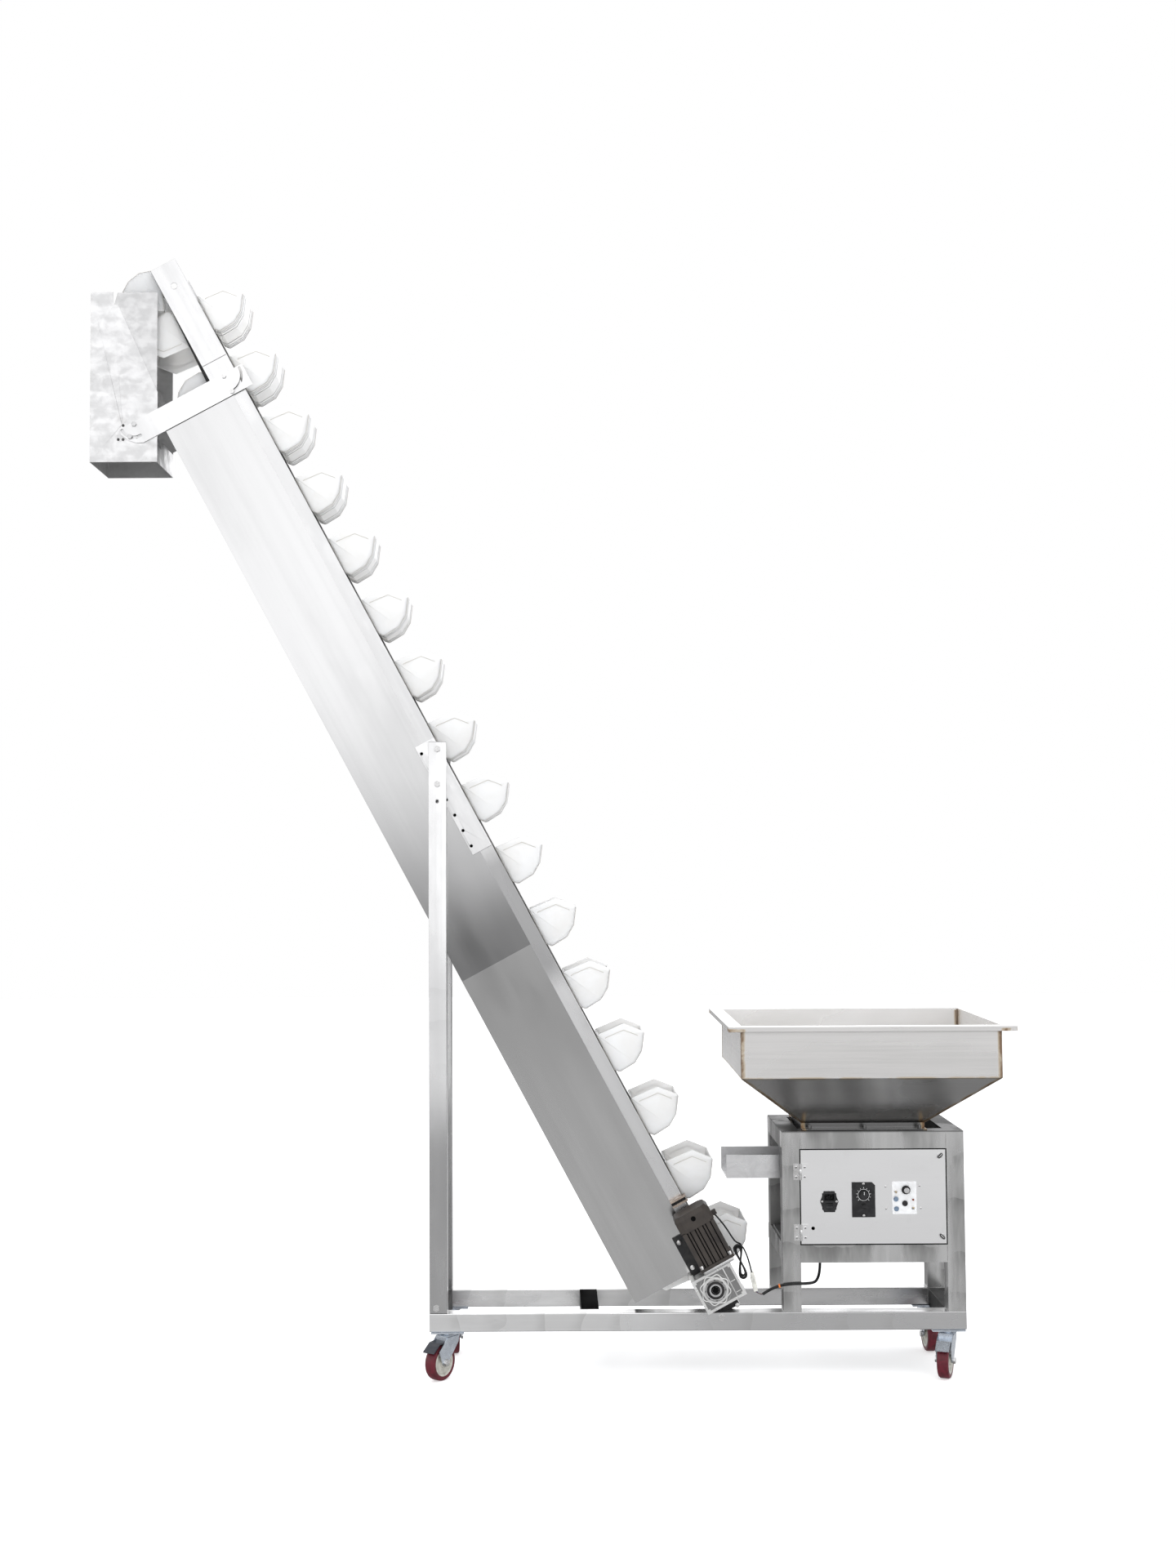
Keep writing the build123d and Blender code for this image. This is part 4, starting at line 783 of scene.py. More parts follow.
@dataclass(frozen=True)
class Plated:
    """Plated or cast metal: bright grains, darker pits and worn high spots, and painted shade on the gearbox
    face's sunk floor where recess is set.
    """

    name: str
    colour: Colour
    shade: Colour
    rough: float = 0.35
    grains: float = 0.004
    relief: float = 0.000018
    # recess paints shade on the gearbox face's sunk floor.
    recess: bool = False

    CLOUDS: ClassVar[float] = 0.6
    SPANGLE: ClassVar[float] = 0.18
    RECESS_SHADE_SHARE: ClassVar[float] = 0.80
    RECESS_SHADE_GREY: ClassVar[float] = 0.15

    def deep(self, g: Graph) -> Socket:
        """Share of painted shade on the gearbox face's sunk floor, in metres from the output bore's axis.

        Args:
            g: The material's nodes.

        Returns:
            The share: 1 on the floor, 0 at its walls and in front of it.
        """
        up, out = g.from_tail(BELT.up), g.from_tail(BELT.out)
        along = g.steps(g.away(up, 0.0), 0.0445, 0.0425)
        across = g.steps(g.away(out, 0.011), 0.0555, 0.0535)
        return g.times(g.times(along, across), g.steps(g.parts()[1], -0.2214, -0.2200))

    def make(self) -> bpy.types.Material:
        """Builds the material.

        Returns:
            The material, under the finish's name.
        """
        g = Graph(self.name)
        cells = g.node("ShaderNodeTexVoronoi", {"Vector": g.coords, "Scale": 1 / self.grains})
        spangle = g.parts(cells.outputs["Color"])[0]
        cloud = g.steps(g.noise(g.coords, 0.08 / self.grains, 4.0, 0.6, 0.6), 0.36, 0.68)
        share = g.plus(g.times(cloud, self.CLOUDS), g.times(spangle, self.SPANGLE))
        grit = g.noise(g.coords, 2.0 / self.grains, 4.0, 0.65)
        base = g.mix(share, self.colour, self.shade)
        # Painted shade on the sunk floor of the gearbox's cast face.
        if self.recess:
            base = g.mix(g.times(self.deep(g), self.RECESS_SHADE_SHARE), base, grey(self.RECESS_SHADE_GREY))
        rough = g.steps(g.plus(spangle, grit), 0.2, 1.5, self.rough * 0.75, self.rough * 1.35)
        g.give(Base_Color=base, Metallic=1.0, Roughness=rough)
        g.bump(grit, self.relief)
        return g.material


@dataclass(frozen=True)
class HopperSheet:
    """Hopper sheet: satin steel with straw and brown heat tint along its welded corners and edges, painted
    light on the back wall's inner face, and painted shade on the taper and at the neck's foot.

    The tint follows how near a point is to two of the walls at once, or to the fold at the box's foot.
    """

    name: str
    middle: float = 1.227 - X_CENTRE * MM
    half_length: float = 0.360
    half_width: float = 0.289
    fold: float = 0.840
    neck_length: float = 0.175
    neck_width: float = 0.120
    neck: float = 0.696
    rim: float = 0.982

    BRIGHT: ClassVar[Colour] = (0.83, 0.82, 0.805)
    SATIN: ClassVar[Colour] = (0.72, 0.71, 0.70)
    BRUSHED: ClassVar[Colour] = (0.50, 0.49, 0.48)
    STRAW: ClassVar[Colour] = (0.52, 0.40, 0.24)
    BROWN: ClassVar[Colour] = (0.22, 0.13, 0.075)
    TINT_REACH: ClassVar[Pair] = (-0.016, -0.003)

    def tint(self, g: Graph, past_x: Socket, past_y: Socket, z: Socket) -> Socket:
        """Heat tint: product of the nearness to both walls, or nearness to the fold, broken by noise.

        Args:
            g: The material's nodes.
            past_x: How far a point is past the end walls.
            past_y: How far it is past the side walls.
            z: Its height.

        Returns:
            Strength of the tint.
        """
        corner = g.times(g.steps(past_x, *self.TINT_REACH), g.steps(past_y, *self.TINT_REACH))
        corner = g.times(corner, g.steps(z, self.rim, self.rim - 0.005))
        fold = g.times(g.steps(g.away(z, self.fold), 0.007, 0.001), 0.45)
        uneven = g.noise(g.coords, 16.0, 4.0, 0.6, 0.5)
        return g.times(g.math("MAXIMUM", corner, fold), g.steps(uneven, 0.25, 0.62))

    def make(self) -> bpy.types.Material:
        """Builds the material.

        Returns:
            The material, under the finish's name.
        """
        g = Graph(self.name)
        x, y, z = g.parts()
        rise = g.node("ShaderNodeMapRange", {0: z, 1: self.neck, 2: self.fold, 3: 0.0, 4: 1.0}).outputs[0]
        long = g.plus(self.neck_length, g.times(rise, self.half_length - self.neck_length))
        wide = g.plus(self.neck_width, g.times(rise, self.half_width - self.neck_width))
        past_x = g.math("SUBTRACT", g.away(x, self.middle), long)
        past_y = g.math("SUBTRACT", g.away(y, 0.0), wide)
        burn = self.tint(g, past_x, past_y, z)
        cloud = g.steps(g.noise(g.turned(Grain.ALONG, (0.4, 0.4, 1.0)), 7.0, 2.0, 0.5), 0.30, 0.72)
        brush = g.noise(g.turned(Grain.ALONG, (0.02, 0.02, 1.0)), 120.0, 2.0, 0.6)
        # Painted light: the back wall's inner face made paler.
        back = g.times(g.steps(y, 0.270, 0.284), g.steps(past_y, -0.0005, -0.0015))
        # Painted shade: the taper darker below the fold, and near black at the neck's foot.
        low = g.steps(z, self.fold + 0.004, self.fold - 0.004, 0.0, 0.45)
        foot = g.steps(z, self.neck + 0.014, self.neck + 0.002, 0.0, 0.85)
        base = g.mix(g.times(cloud, 0.45), self.BRIGHT, self.SATIN)
        for share, colour in ((g.steps(brush, 0.3, 0.75, 0.0, 0.16), self.BRUSHED),
                              (g.times(back, 0.8), grey(0.93)), (low, grey(0.36)), (foot, grey(0.12)),
                              (g.steps(burn, 0.05, 0.45, 0.0, 0.65), self.STRAW),
                              (g.steps(burn, 0.4, 0.95, 0.0, 0.85), self.BROWN)):
            base = g.mix(share, base, colour)
        rough = g.steps(g.plus(g.times(cloud, 0.5), burn), 0.0, 1.2, 0.24, 0.48)
        g.give(Base_Color=base, Metallic=1.0, Roughness=rough)
        return g.material


@dataclass(frozen=True)
class Finishes:
    """Every finish of the machine by its name."""

    made: dict[str, bpy.types.Material] = field(default_factory=dict)

    def build(self) -> None:
        """Makes every material once."""
        for finish in FINISH_LIST:
            self.made[finish.name] = finish.make()
        LOG.info("finishes: %d", len(self.made))

    def dress(self, thing: bpy.types.Object, *names: str) -> None:
        """Puts finishes on an object's material slots in order, the last one on any further slots.

        Args:
            thing: The object.
            *names: One or more finishes.
        """
        mesh = thing.data
        while len(mesh.materials) < len(names):
            mesh.materials.append(None)
        for index in range(len(mesh.materials)):
            mesh.materials[index] = self.made[names[min(index, len(names) - 1)]]


# A steel's shade is painted shade and painted reflection of the room; its under is painted near-black shade.
FINISH_LIST: tuple[Steel | Plated | Moulded | HopperSheet, ...] = (
    Steel("tube along", grey(0.62), (0.46, 0.455, 0.45), clouds=0.7, cloud_size=0.10, cloud_stretch=0.22,
          marks=0.5),
    Steel("tube across", grey(0.50), grey(0.32), grain=Grain.ACROSS, clouds=0.8, marks=0.3, edge=0.1,
          shade=PaintedShade(Axis.LENGTH, 0.1295, 0.12, 0.06, 0.0)),
    Steel("base tube", grey(0.92), (0.72, 0.72, 0.71), clouds=0.6, cloud_size=0.10, cloud_stretch=0.3,
          marks=0.3, shade=PaintedShade(Axis.LENGTH, -1.0, 1.10, 1.60, 0.50)),
    Steel("tube upright", (0.64, 0.64, 0.635), (0.28, 0.28, 0.275), grain=Grain.UPRIGHT, clouds=0.8,
          cloud_size=0.10, cloud_stretch=0.22, warp=0.2, marks=0.5, edge=0.4,
          shade=PaintedShade(Axis.HEIGHT, 0.0, 0.675, 0.679, 0.10)),
    Steel("leg tube", grey(0.74), grey(0.62), grain=Grain.UPRIGHT, clouds=0.4, cloud_size=0.2, marks=0.1,
          lean=-0.05, shade=PaintedShade(Axis.HEIGHT, 0.0, 0.84, 0.60, 0.36)),
    Steel("rail sheet", grey(0.68), grey(0.60), grain=Grain.INCLINE, clouds=0.4, gloss=(0.22, 0.34),
          lean=-0.02, edge=0.3, shade=PaintedShade(Axis.INCLINE, 1.165, 0.25, 0.15, 0.34, 0.85), under=-0.0396),
    Steel("casing sheet", (0.52, 0.52, 0.515), (0.44, 0.44, 0.435), grain=Grain.INCLINE, clouds=0.35,
          gloss=(0.13, 0.20), cloud_size=0.3, lines=0.7, streaks=0.12, dirt=0.03),
    Steel("casing upper", grey(0.56), grey(0.48), grain=Grain.INCLINE, clouds=0.35, gloss=(0.13, 0.20),
          cloud_size=0.3, lines=0.7, streaks=0.12, dirt=0.03,
          shade=PaintedShade(Axis.INCLINE, 0.0, 1.36, 1.14, 0.25, 0.85)),
    Steel("chute sheet", grey(0.72), grey(0.60), gloss=(0.32, 0.46), clouds=0.5, cloud_size=0.03,
          cloud_stretch=0.8, warp=0.3, lines=0.4, dirt=0.25),
    Steel("chute plate", grey(0.62), grey(0.52), gloss=(0.32, 0.46), clouds=0.5, cloud_size=0.03,
          cloud_stretch=0.8, warp=0.3, lines=0.4),
    Steel("tray sheet", (0.80, 0.80, 0.805), (0.62, 0.62, 0.625), gloss=(0.26, 0.40), clouds=0.7,
          cloud_size=0.035, cloud_stretch=0.7, warp=0.8, lines=0.4),
    Steel("door sheet", grey(0.88), grey(0.78), gloss=(0.28, 0.40), clouds=0.5, cloud_size=0.16,
          streaks=0.04, dirt=0.04),
    Steel("box sheet", grey(0.40), grey(0.30), gloss=(0.30, 0.42), clouds=0.5),
    Steel("bracket sheet", grey(0.86), grey(0.74), grain=Grain.INCLINE, clouds=0.6, cloud_size=0.05),
    Steel("arm sheet", grey(0.78), grey(0.68), grain=Grain.INCLINE, clouds=0.4, gloss=(0.28, 0.40)),
    Steel("shaft bright", grey(0.60), grey(0.46), grain=Grain.ACROSS, gloss=(0.14, 0.24)),
    HopperSheet("hopper sheet"),
    Plated("zinc", (0.62, 0.67, 0.73), (0.44, 0.47, 0.52), rough=0.28, grains=0.003),
    Plated("flange warm", (0.60, 0.50, 0.42), (0.34, 0.28, 0.24), rough=0.30, grains=0.003),
    Plated("bolt bright", grey(0.72), (0.52, 0.51, 0.50), rough=0.24, grains=0.002),
    Plated("chain steel", (0.36, 0.35, 0.34), (0.20, 0.19, 0.18), rough=0.36, grains=0.003),
    # Cast aluminium with painted shade on the gearbox face's sunk floor.
    Plated("cast aluminium", (0.86, 0.86, 0.85), (0.70, 0.70, 0.69), rough=0.36, relief=0.00004, recess=True),
    Plated("flange aluminium", grey(0.70), grey(0.56), rough=0.30, grains=0.003),
    Plated("weld bead", (0.42, 0.36, 0.30), (0.16, 0.11, 0.08), rough=0.34, grains=0.003, relief=0.00016),
    # Grey of the frame's welds, also used for a ring of painted shade on the gearbox face.
    Plated("weld and ring shade grey", grey(0.50), (0.22, 0.21, 0.20), rough=0.34, grains=0.003, relief=0.0001),
    Plated("brass", (0.62, 0.46, 0.20), (0.40, 0.28, 0.12), rough=0.26, grains=0.003),
    Moulded("black oxide", (0.018, 0.018, 0.020), (0.036, 0.035, 0.034), rough=0.42, shine=0.3),
    Moulded("motor paint", (0.046, 0.039, 0.034), (0.030, 0.026, 0.024), rough=0.46, cloud_size=0.05,
            peel=0.00002, shine=0.22),
    Moulded("bucket plastic", (0.74, 0.74, 0.735), (0.70, 0.69, 0.67), cloud_size=0.11, soft=0.7,
            depth=0.03, glow=(1.0, 0.97, 0.93), peel=0.000006),
    # Dark lines of painted shade along the buckets' folds and edges.
    Moulded("bucket edge shade", (0.50, 0.48, 0.44), (0.58, 0.56, 0.53), rough=0.50, cloud_size=0.05, shine=0.2),
    Moulded("guide plastic", (0.72, 0.73, 0.70), (0.62, 0.62, 0.58), rough=0.38, soft=0.2),
    # Black rubber of pads and seals, also used for painted shade.
    Moulded("pad rubber and painted shade", (0.016, 0.016, 0.017), (0.030, 0.029, 0.028), rough=0.70, peel=0.00003, shine=0.15),
    Moulded("cord sheath", (0.010, 0.010, 0.011), grey(0.022), rough=0.45, cloud_size=0.012, shine=0.25),
    Moulded("wheel tread", (0.115, 0.010, 0.020), (0.060, 0.008, 0.012), rough=0.38, cloud_size=0.02,
            shine=0.3),
    Moulded("wheel core", (0.50, 0.49, 0.44), (0.34, 0.33, 0.29), rough=0.42, cloud_size=0.02),
    Moulded("pedal dark", (0.014, 0.017, 0.026), (0.030, 0.031, 0.038), rough=0.30, shine=0.4),
    Moulded("control black", (0.014, 0.014, 0.015), (0.026, 0.026, 0.027), rough=0.42, cloud_size=0.02,
            shine=0.2),
    Moulded("knob black", (0.010, 0.010, 0.011), (0.022, 0.022, 0.023), rough=0.34, shine=0.3),
    # Matt black, used for the black cap screw and for painted shade.
    Moulded("black and painted shade", grey(0.003), grey(0.006), rough=0.90, shine=0.02),
    Moulded("panel white", (0.74, 0.75, 0.76), grey(0.66), cloud_size=0.02),
    Moulded("mark white", grey(0.82), grey(0.70), rough=0.45),
    Moulded("socket blue", (0.16, 0.22, 0.30), (0.10, 0.14, 0.20), rough=0.3, cloud_size=0.01),
    Moulded("lamp amber", (0.30, 0.05, 0.02), (0.16, 0.03, 0.015), rough=0.2, coat=0.6),
    Moulded("connector milky", (0.70, 0.70, 0.66), (0.58, 0.57, 0.52), rough=0.32, soft=0.4,
            glow=(1.0, 0.95, 0.85), cloud_size=0.012),
    Moulded("tie orange", (0.72, 0.20, 0.03), (0.56, 0.13, 0.02), rough=0.36, cloud_size=0.01, soft=0.1,
            glow=(1.0, 0.4, 0.1)),
    Moulded("wire brown", (0.12, 0.05, 0.03), (0.08, 0.035, 0.02)),
    Moulded("wire blue", (0.03, 0.07, 0.20), (0.02, 0.05, 0.14)),
)


# Studio


@dataclass(frozen=True)
class Studio:
    """Camera at the photograph's place, pale floor, soft lights and a bright room with one dark band.

    A grey of the room is its place on the scale from straight down to straight up, and its level.
    """

    focal_pixels: float = 2395.69
    picture_width: float = 1440.0
    picture_height: float = 1920.0
    middle: Pair = (660.85, 901.91)
    place: Place = (328.65, -5725.53, 1473.95)
    yaw: float = -0.123
    pitch: float = 3.308
    roll: float = -0.314
    sensor: float = 36.0
    floor_reach: float = 14000.0
    floor_glow: float = 0.48
    warm: Colour = (1.0, 0.99, 0.97)
    cool: Colour = (0.97, 0.98, 1.0)
    ambient: float = 0.96
    gleam: float = 1.85
    room_greys: Pairs = (
        (0.0, 0.16), (0.20, 0.17), (0.33, 0.30), (0.395, 0.40), (0.447, 0.41), (0.462, 0.14),
        (0.482, 0.11), (0.500, 0.60), (0.535, 0.98), (0.66, 0.84), (0.85, 0.70), (1.0, 0.62))

    def camera(self) -> None:
        """Makes the camera, its axes worked out from yaw, pitch and roll."""
        yaw, pitch, roll = (math.radians(v) for v in (self.yaw, self.pitch, self.roll))
        forward = Vector((math.sin(yaw) * math.cos(pitch), math.cos(yaw) * math.cos(pitch), math.sin(pitch)))
        right = Vector((math.cos(yaw), -math.sin(yaw), 0.0))
        up = right.cross(forward)
        side = right * math.cos(roll) + up * math.sin(roll)
        top = up * math.cos(roll) - right * math.sin(roll)
        data = bpy.data.cameras.new("camera")
        data.sensor_width = self.sensor
        data.lens = self.focal_pixels * self.sensor / self.picture_height
        data.shift_x = (self.picture_width / 2 - self.middle[0]) / self.picture_height
        data.shift_y = (self.middle[1] - self.picture_height / 2) / self.picture_height
        data.clip_end = 100.0
        seen = linked("camera", data)
        axes = Matrix((side, top, -forward)).transposed().to_4x4()
        seen.matrix_world = Matrix.Translation(Vector(in_metres(self.place))) @ axes
        bpy.context.scene.camera = seen

    def floor(self) -> None:
        """Lays the pale floor."""
        draft = Draft()
        far = self.floor_reach
        draft.grid(np.array([[(-far, -far, 0), (far, -far, 0)], [(-far, far, 0), (far, far, 0)]], float))
        ground = draft.object("studio_floor")
        g = Graph("studio floor")
        g.give(Base_Color=g.mix(g.noise(g.coords, 3.0), (0.90, 0.90, 0.905), (0.92, 0.92, 0.925)),
               Roughness=0.9, Specular_IOR_Level=0.1, Emission_Color=grey(1.0),
               Emission_Strength=self.floor_glow)
        ground.data.materials.append(g.material)
        ground.visible_glossy = False

    def light(self, name: str, place: Sequence[float], aim: Sequence[float], size: Sequence[float],
              watts: float, colour: Colour = (1.0, 1.0, 1.0), gloss: bool = True) -> None:
        """Hangs one soft box.

        Args:
            name: Its name.
            place: Its middle in metres.
            aim: Point that it faces, in metres.
            size: Width and height in metres.
            watts: Its power.
            colour: Its colour.
            gloss: Whether it shows in reflections.
        """
        data = bpy.data.lights.new(name, "AREA")
        data.shape = "RECTANGLE"
        data.size, data.size_y = size
        data.energy = watts
        data.color = colour
        lamp = linked(name, data)
        turn = (Vector(aim) - Vector(place)).to_track_quat("-Z", "Y").to_matrix().to_4x4()
        lamp.matrix_world = Matrix.Translation(Vector(place)) @ turn
        lamp.visible_glossy = gloss
        lamp.visible_camera = False

    def room(self) -> None:
        """Lights the room by elevation: grey below, a dark band just under the horizon, bright above.

        The place on the scale of greys is half of (elevation + 0.10 * noise), plus 0.475. Only bright
        pieces reflect it: the camera sees plain white, and all else gets an even pale light.
        """
        world = bpy.data.worlds.new("room")
        bpy.context.scene.world = world
        world.use_nodes = True
        n = Nodes(world.node_tree)
        direction = n.node("ShaderNodeTexCoord", {}).outputs["Generated"]
        height = n.node("ShaderNodeSeparateXYZ", {0: direction}).outputs[2]
        drift = n.noise(direction, 2.2, 3.0, 0.5)
        level = n.plus(n.times(n.plus(n.times(drift, 0.10), height), 0.5), 0.475)
        ramp = n.node("ShaderNodeValToRGB", {0: level})
        elements = ramp.color_ramp.elements
        for place, _ in self.room_greys[1:-1]:
            elements.new(place)
        for element, (place, light) in zip(elements, self.room_greys):
            element.position = place
            element.color = (light, light, light * 1.01, 1.0)
        lit = n.node("ShaderNodeBackground", {"Color": ramp.outputs[0], "Strength": self.gleam})
        plain = n.node("ShaderNodeBackground", {"Color": (1.0, 1.0, 1.0, 1.0)})
        soft = n.node("ShaderNodeBackground", {"Color": (*self.cool, 1.0), "Strength": self.ambient})
        path = n.node("ShaderNodeLightPath", {})
        shown = n.node("ShaderNodeMixShader", {0: path.outputs["Is Glossy Ray"], 1: soft.outputs[0],
                                               2: lit.outputs[0]})
        shown = n.node("ShaderNodeMixShader", {0: path.outputs["Is Camera Ray"], 1: shown.outputs[0],
                                               2: plain.outputs[0]})
        n.node("ShaderNodeOutputWorld", {0: shown.outputs[0]})

    def build(self) -> None:
        """Sets up the whole studio."""
        bpy.context.scene.view_settings.view_transform = "Standard"
        self.camera()
        self.floor()
        self.room()
        self.light("front box", (-2.2, -4.6, 3.6), (0.0, 0.0, 1.2), (2.4, 2.4), 14.0, self.warm, False)
        self.light("side box", (4.2, -2.2, 2.6), (0.3, 0.0, 0.8), (1.6, 2.8), 8.0, self.cool, False)
        self.light("top box", (0.0, 0.6, 5.2), (0.0, 0.0, 0.0), (3.2, 2.4), 22.0)
        self.light("floor wash", (0.0, -2.0, 5.5), (0.0, -1.0, 0.0), (7.0, 7.0), 150.0, gloss=False)
        LOG.info("studio: camera, floor and lights")


@dataclass(frozen=True)
class Assembly:
    """A group of pieces that are dressed from one set of finishes."""

    finishes: Finishes

    def declare(self, made: bpy.types.Object, body: str, slot: str, names: Sequence[str],
                stands_for: Sequence[str] = ()) -> bpy.types.Object:
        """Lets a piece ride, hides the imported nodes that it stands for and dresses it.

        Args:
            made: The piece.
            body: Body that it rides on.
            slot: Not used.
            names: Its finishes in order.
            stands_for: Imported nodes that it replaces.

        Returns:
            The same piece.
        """
        if stands_for:
            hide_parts(*stands_for)
        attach(made, body)
        self.finishes.dress(made, *names)
        return made

    def piece(self, draft: Draft, name: str, body: str, slot: str, *names: str) -> bpy.types.Object:
        return self.declare(draft.object(name), body, slot, names)


# Leads


def smooth_line(name: str, places: Array, fineness: int) -> bpy.types.Curve:
    """A smooth curve whose control points are given.

    Args:
        name: Name of the curve.
        places: Its control points.
        fineness: Points worked out for each control point.

    Returns:
        The curve's data, with one open spline.
    """
    data = bpy.data.curves.new(name, "CURVE")
    data.dimensions = "3D"
    spline = data.splines.new("NURBS")
    spline.points.add(len(places) - 1)
    for point, place in zip(spline.points, places):
        point.co = (*place, 1.0)
    spline.order_u = 3
    spline.use_endpoint_u = True
    data.resolution_u = fineness
    return data


def cord_line(name: str, route: Sequence[Sequence[float]], diameter: float) -> bpy.types.Object:
    """A cord as one smooth curve whose control points are its route.

    Args:
        name: Name of the piece.
        route: Control points in the maker's frame.
        diameter: Thickness of the cord in millimetres.

    Returns:
        The curve object, at the origin.
    """
    data = smooth_line(name, in_metres(route), 10)
    for point in data.splines[0].points:
        point.radius = diameter / 2 * MM
    data.bevel_depth = 1.0
    data.bevel_resolution = 4
    data.use_fill_caps = True
    return linked(name, data)


@dataclass(frozen=True)
class Leads(Assembly):
    """Motor lead with its tied hank, its connector, and the control lead with its tie.

    A lobe of the hank is its share of the height and half its width. A step of the plug is where it
    starts and ends along the plug and half its width; the last one ends at the plug's foot.
    """

    motor_y: float = -184.0
    lie_y: float = -179.1
    motor_diameter: float = 4.5
    control_diameter: float = 8.0
    motor_length: float = 0.985
    control_length: float = 0.287
    motor_exit: Pair = (175.6, 98.0)
    hank_top: Pair = (859.0, 378.0)
    hank_foot: Pair = (881.0, 268.0)
    hank_depth: float = 7.6
    lobes: Pairs = (
        (0.95, 13.2), (0.96, 11.2), (0.80, 8.7), (0.80, 7.4), (0.88, 11.0), (0.88, 9.2), (0.74, 6.8),
        (0.74, 6.6))
    control_route: tuple[Place, ...] = (
        (1102, -112, 357), (1102, -112, 298), (1096, -126, 270), (1082, -158, 259), (1058, -179.1, 260),
        (1000, -179.1, 259), (958, -179.1, 249), (931, -179.1, 231))
    plug_top: Pair = (901.0, 292.0)
    plug_foot: Pair = (912.0, 240.0)
    plug_steps: tuple[Place, ...] = (
        (0.0, 17.0, 5.4), (14.0, 21.0, 6.8), (20.4, 44.0, 6.4), (43.0, math.hypot(11.0, 52.0), 5.6))
    wires: tuple[float, ...] = (-3.0, -1.0, 1.0, 3.0)
    tie_x: float = 979.0
    tie_before_y: float = -170.0

    def hank_points(self) -> list[Place]:
        """Loose figure-of-eight turns, twelve points each.

        A point is middle + half height * sin(a) * along + half width * (sin(2a) - 0.15 * sin(4a)) *
        aside, with a height and a width for each lobe. It moves towards the front by a step for each turn
        and to and fro within it, so that crossings clear.

        Returns:
            The points in order along the lead.
        """
        top, foot = np.array(self.hank_top), np.array(self.hank_foot)
        along = top - foot
        reach = np.linalg.norm(along) / 2
        along /= np.linalg.norm(along)
        aside = np.array([along[1], -along[0]])
        middle = (top + foot) / 2
        part = np.arange(12 * len(self.lobes) // 2) / 12
        height, width = np.array(self.lobes)[np.floor(2 * part + 0.5).astype(int) % len(self.lobes)].T
        angle = math.pi / 2 - part * 2 * math.pi
        u = (reach - 2.6) * height * np.sin(angle)
        v = width * (np.sin(2 * angle) - 0.15 * np.sin(4 * angle))
        flat = middle + u[:, None] * along + v[:, None] * aside
        depth = np.clip(-6.4 + 3.3 * part + 1.5 * np.sin(3 * angle), -self.hank_depth, self.hank_depth)
        return [(x, self.lie_y - y, z) for (x, z), y in zip(flat, depth)]

    def motor_lead(self) -> bpy.types.Object:
        """The thin lead from the motor's elbow, through its hank, to the connector.

        Returns:
            The lead as a curve.
        """
        route = [tuple(BELT.place(*self.motor_exit, self.motor_y)), (824, self.motor_y, 426),
                 (850, -180.0, 384), *self.hank_points(), (872, -187.0, 372), (888, -184.0, 340),
                 (897, -180.0, 308), (901, self.lie_y, 291)]
        lead = cord_line("motor_lead_line", route, self.motor_diameter)
        return self.declare(lead, "frame", "cable_black", ["cord sheath"], ["motor_lead", "motor_lead_hank"])

    def connector(self) -> bpy.types.Object:
        """Plug and socket, stepped housings with a latch, and four short wires to the control lead.

        A wire is the curve (1-t)^2 * begin + 2t(1-t) * middle + t^2 * end.

        Returns:
            The connector, its housings in slot 0.
        """
        draft = Draft()
        top, foot = (np.array((x, self.lie_y, z)) for x, z in (self.plug_top, self.plug_foot))
        down = (foot - top) / np.linalg.norm(foot - top)
        aside = np.cross(FRONT, down)
        axes = (aside, FRONT, down)
        for low, high, half in self.plug_steps:
            draft.prism(centred(half, half, 1.2, 3), top + down * low, axes, high - low, 0.6)
        draft.prism(centred(2.2, 0.8, 0.3, 2), top + down * 8 + FRONT * 5.9, axes, 20.0, 0.3)
        t = np.linspace(0, 1, 9)[:, None]
        for index, offset in enumerate(self.wires):
            begin = foot + aside * offset * 0.8
            end = np.array(self.control_route[-1]) + np.array((0.0, offset * 0.4, -0.3 * offset))
            middle = (begin + end) / 2 + np.array((-2.0, offset * 0.35, -4.5 - 0.4 * offset))
            path = (1 - t) ** 2 * begin + 2 * t * (1 - t) * middle + t ** 2 * end
            draft.along(path, 0.75, 8, slot=1 + index % 2)
        return self.declare(draft.object("lead_connector_body"), "frame", "connector_white",
                            ["connector milky", "wire brown", "wire blue"], ["lead_connector"])

    def control_lead(self) -> bpy.types.Object:
        """The lead from the box's gland to the connector."""
        lead = cord_line("control_lead_line", self.control_route, self.control_diameter)
        return self.declare(lead, "frame", "cable_black", ["cord sheath"], ["control_lead"])

    def tie(self) -> bpy.types.Object:
        """Nylon tie round the control lead: a turned band and its head, square to the lead's own line.

        Returns:
            The tie.
        """
        guide = bpy.data.objects.new("tie_guide", smooth_line("tie_guide", self.control_route, 16))
        run = bpy.data.meshes.new_from_object(guide)
        places = np.array([tuple(v.co) for v in run.vertices])
        bpy.data.objects.remove(guide)
        behind = (places[:, 1] > self.tie_before_y) * 1000
        spot = int(np.argmin(np.abs(places[:, 0] - self.tie_x) + behind))
        side, up, forward = axes_for(places[spot + 1] - places[spot - 1])
        draft = Draft()
        radius = self.control_diameter / 2
        profile = [(radius + 0.05, -2.3), (radius + 1.1, -2.3), (radius + 1.4, -1.9), (radius + 1.4, 1.9),
                   (radius + 1.1, 2.3), (radius + 0.05, 2.3), (radius + 0.05, -2.3)]
        draft.turned(profile, places[spot], forward)
        foot = places[spot] + up * (radius - 0.2)
        draft.prism(centred(2.9, 2.4, 0.7, 3), foot, (side, forward, up), 1.7, 0.4)
        return self.declare(draft.object("cable_tie_band"), "frame", "tie_orange", ["tie orange"],
                            ["cable_tie"])

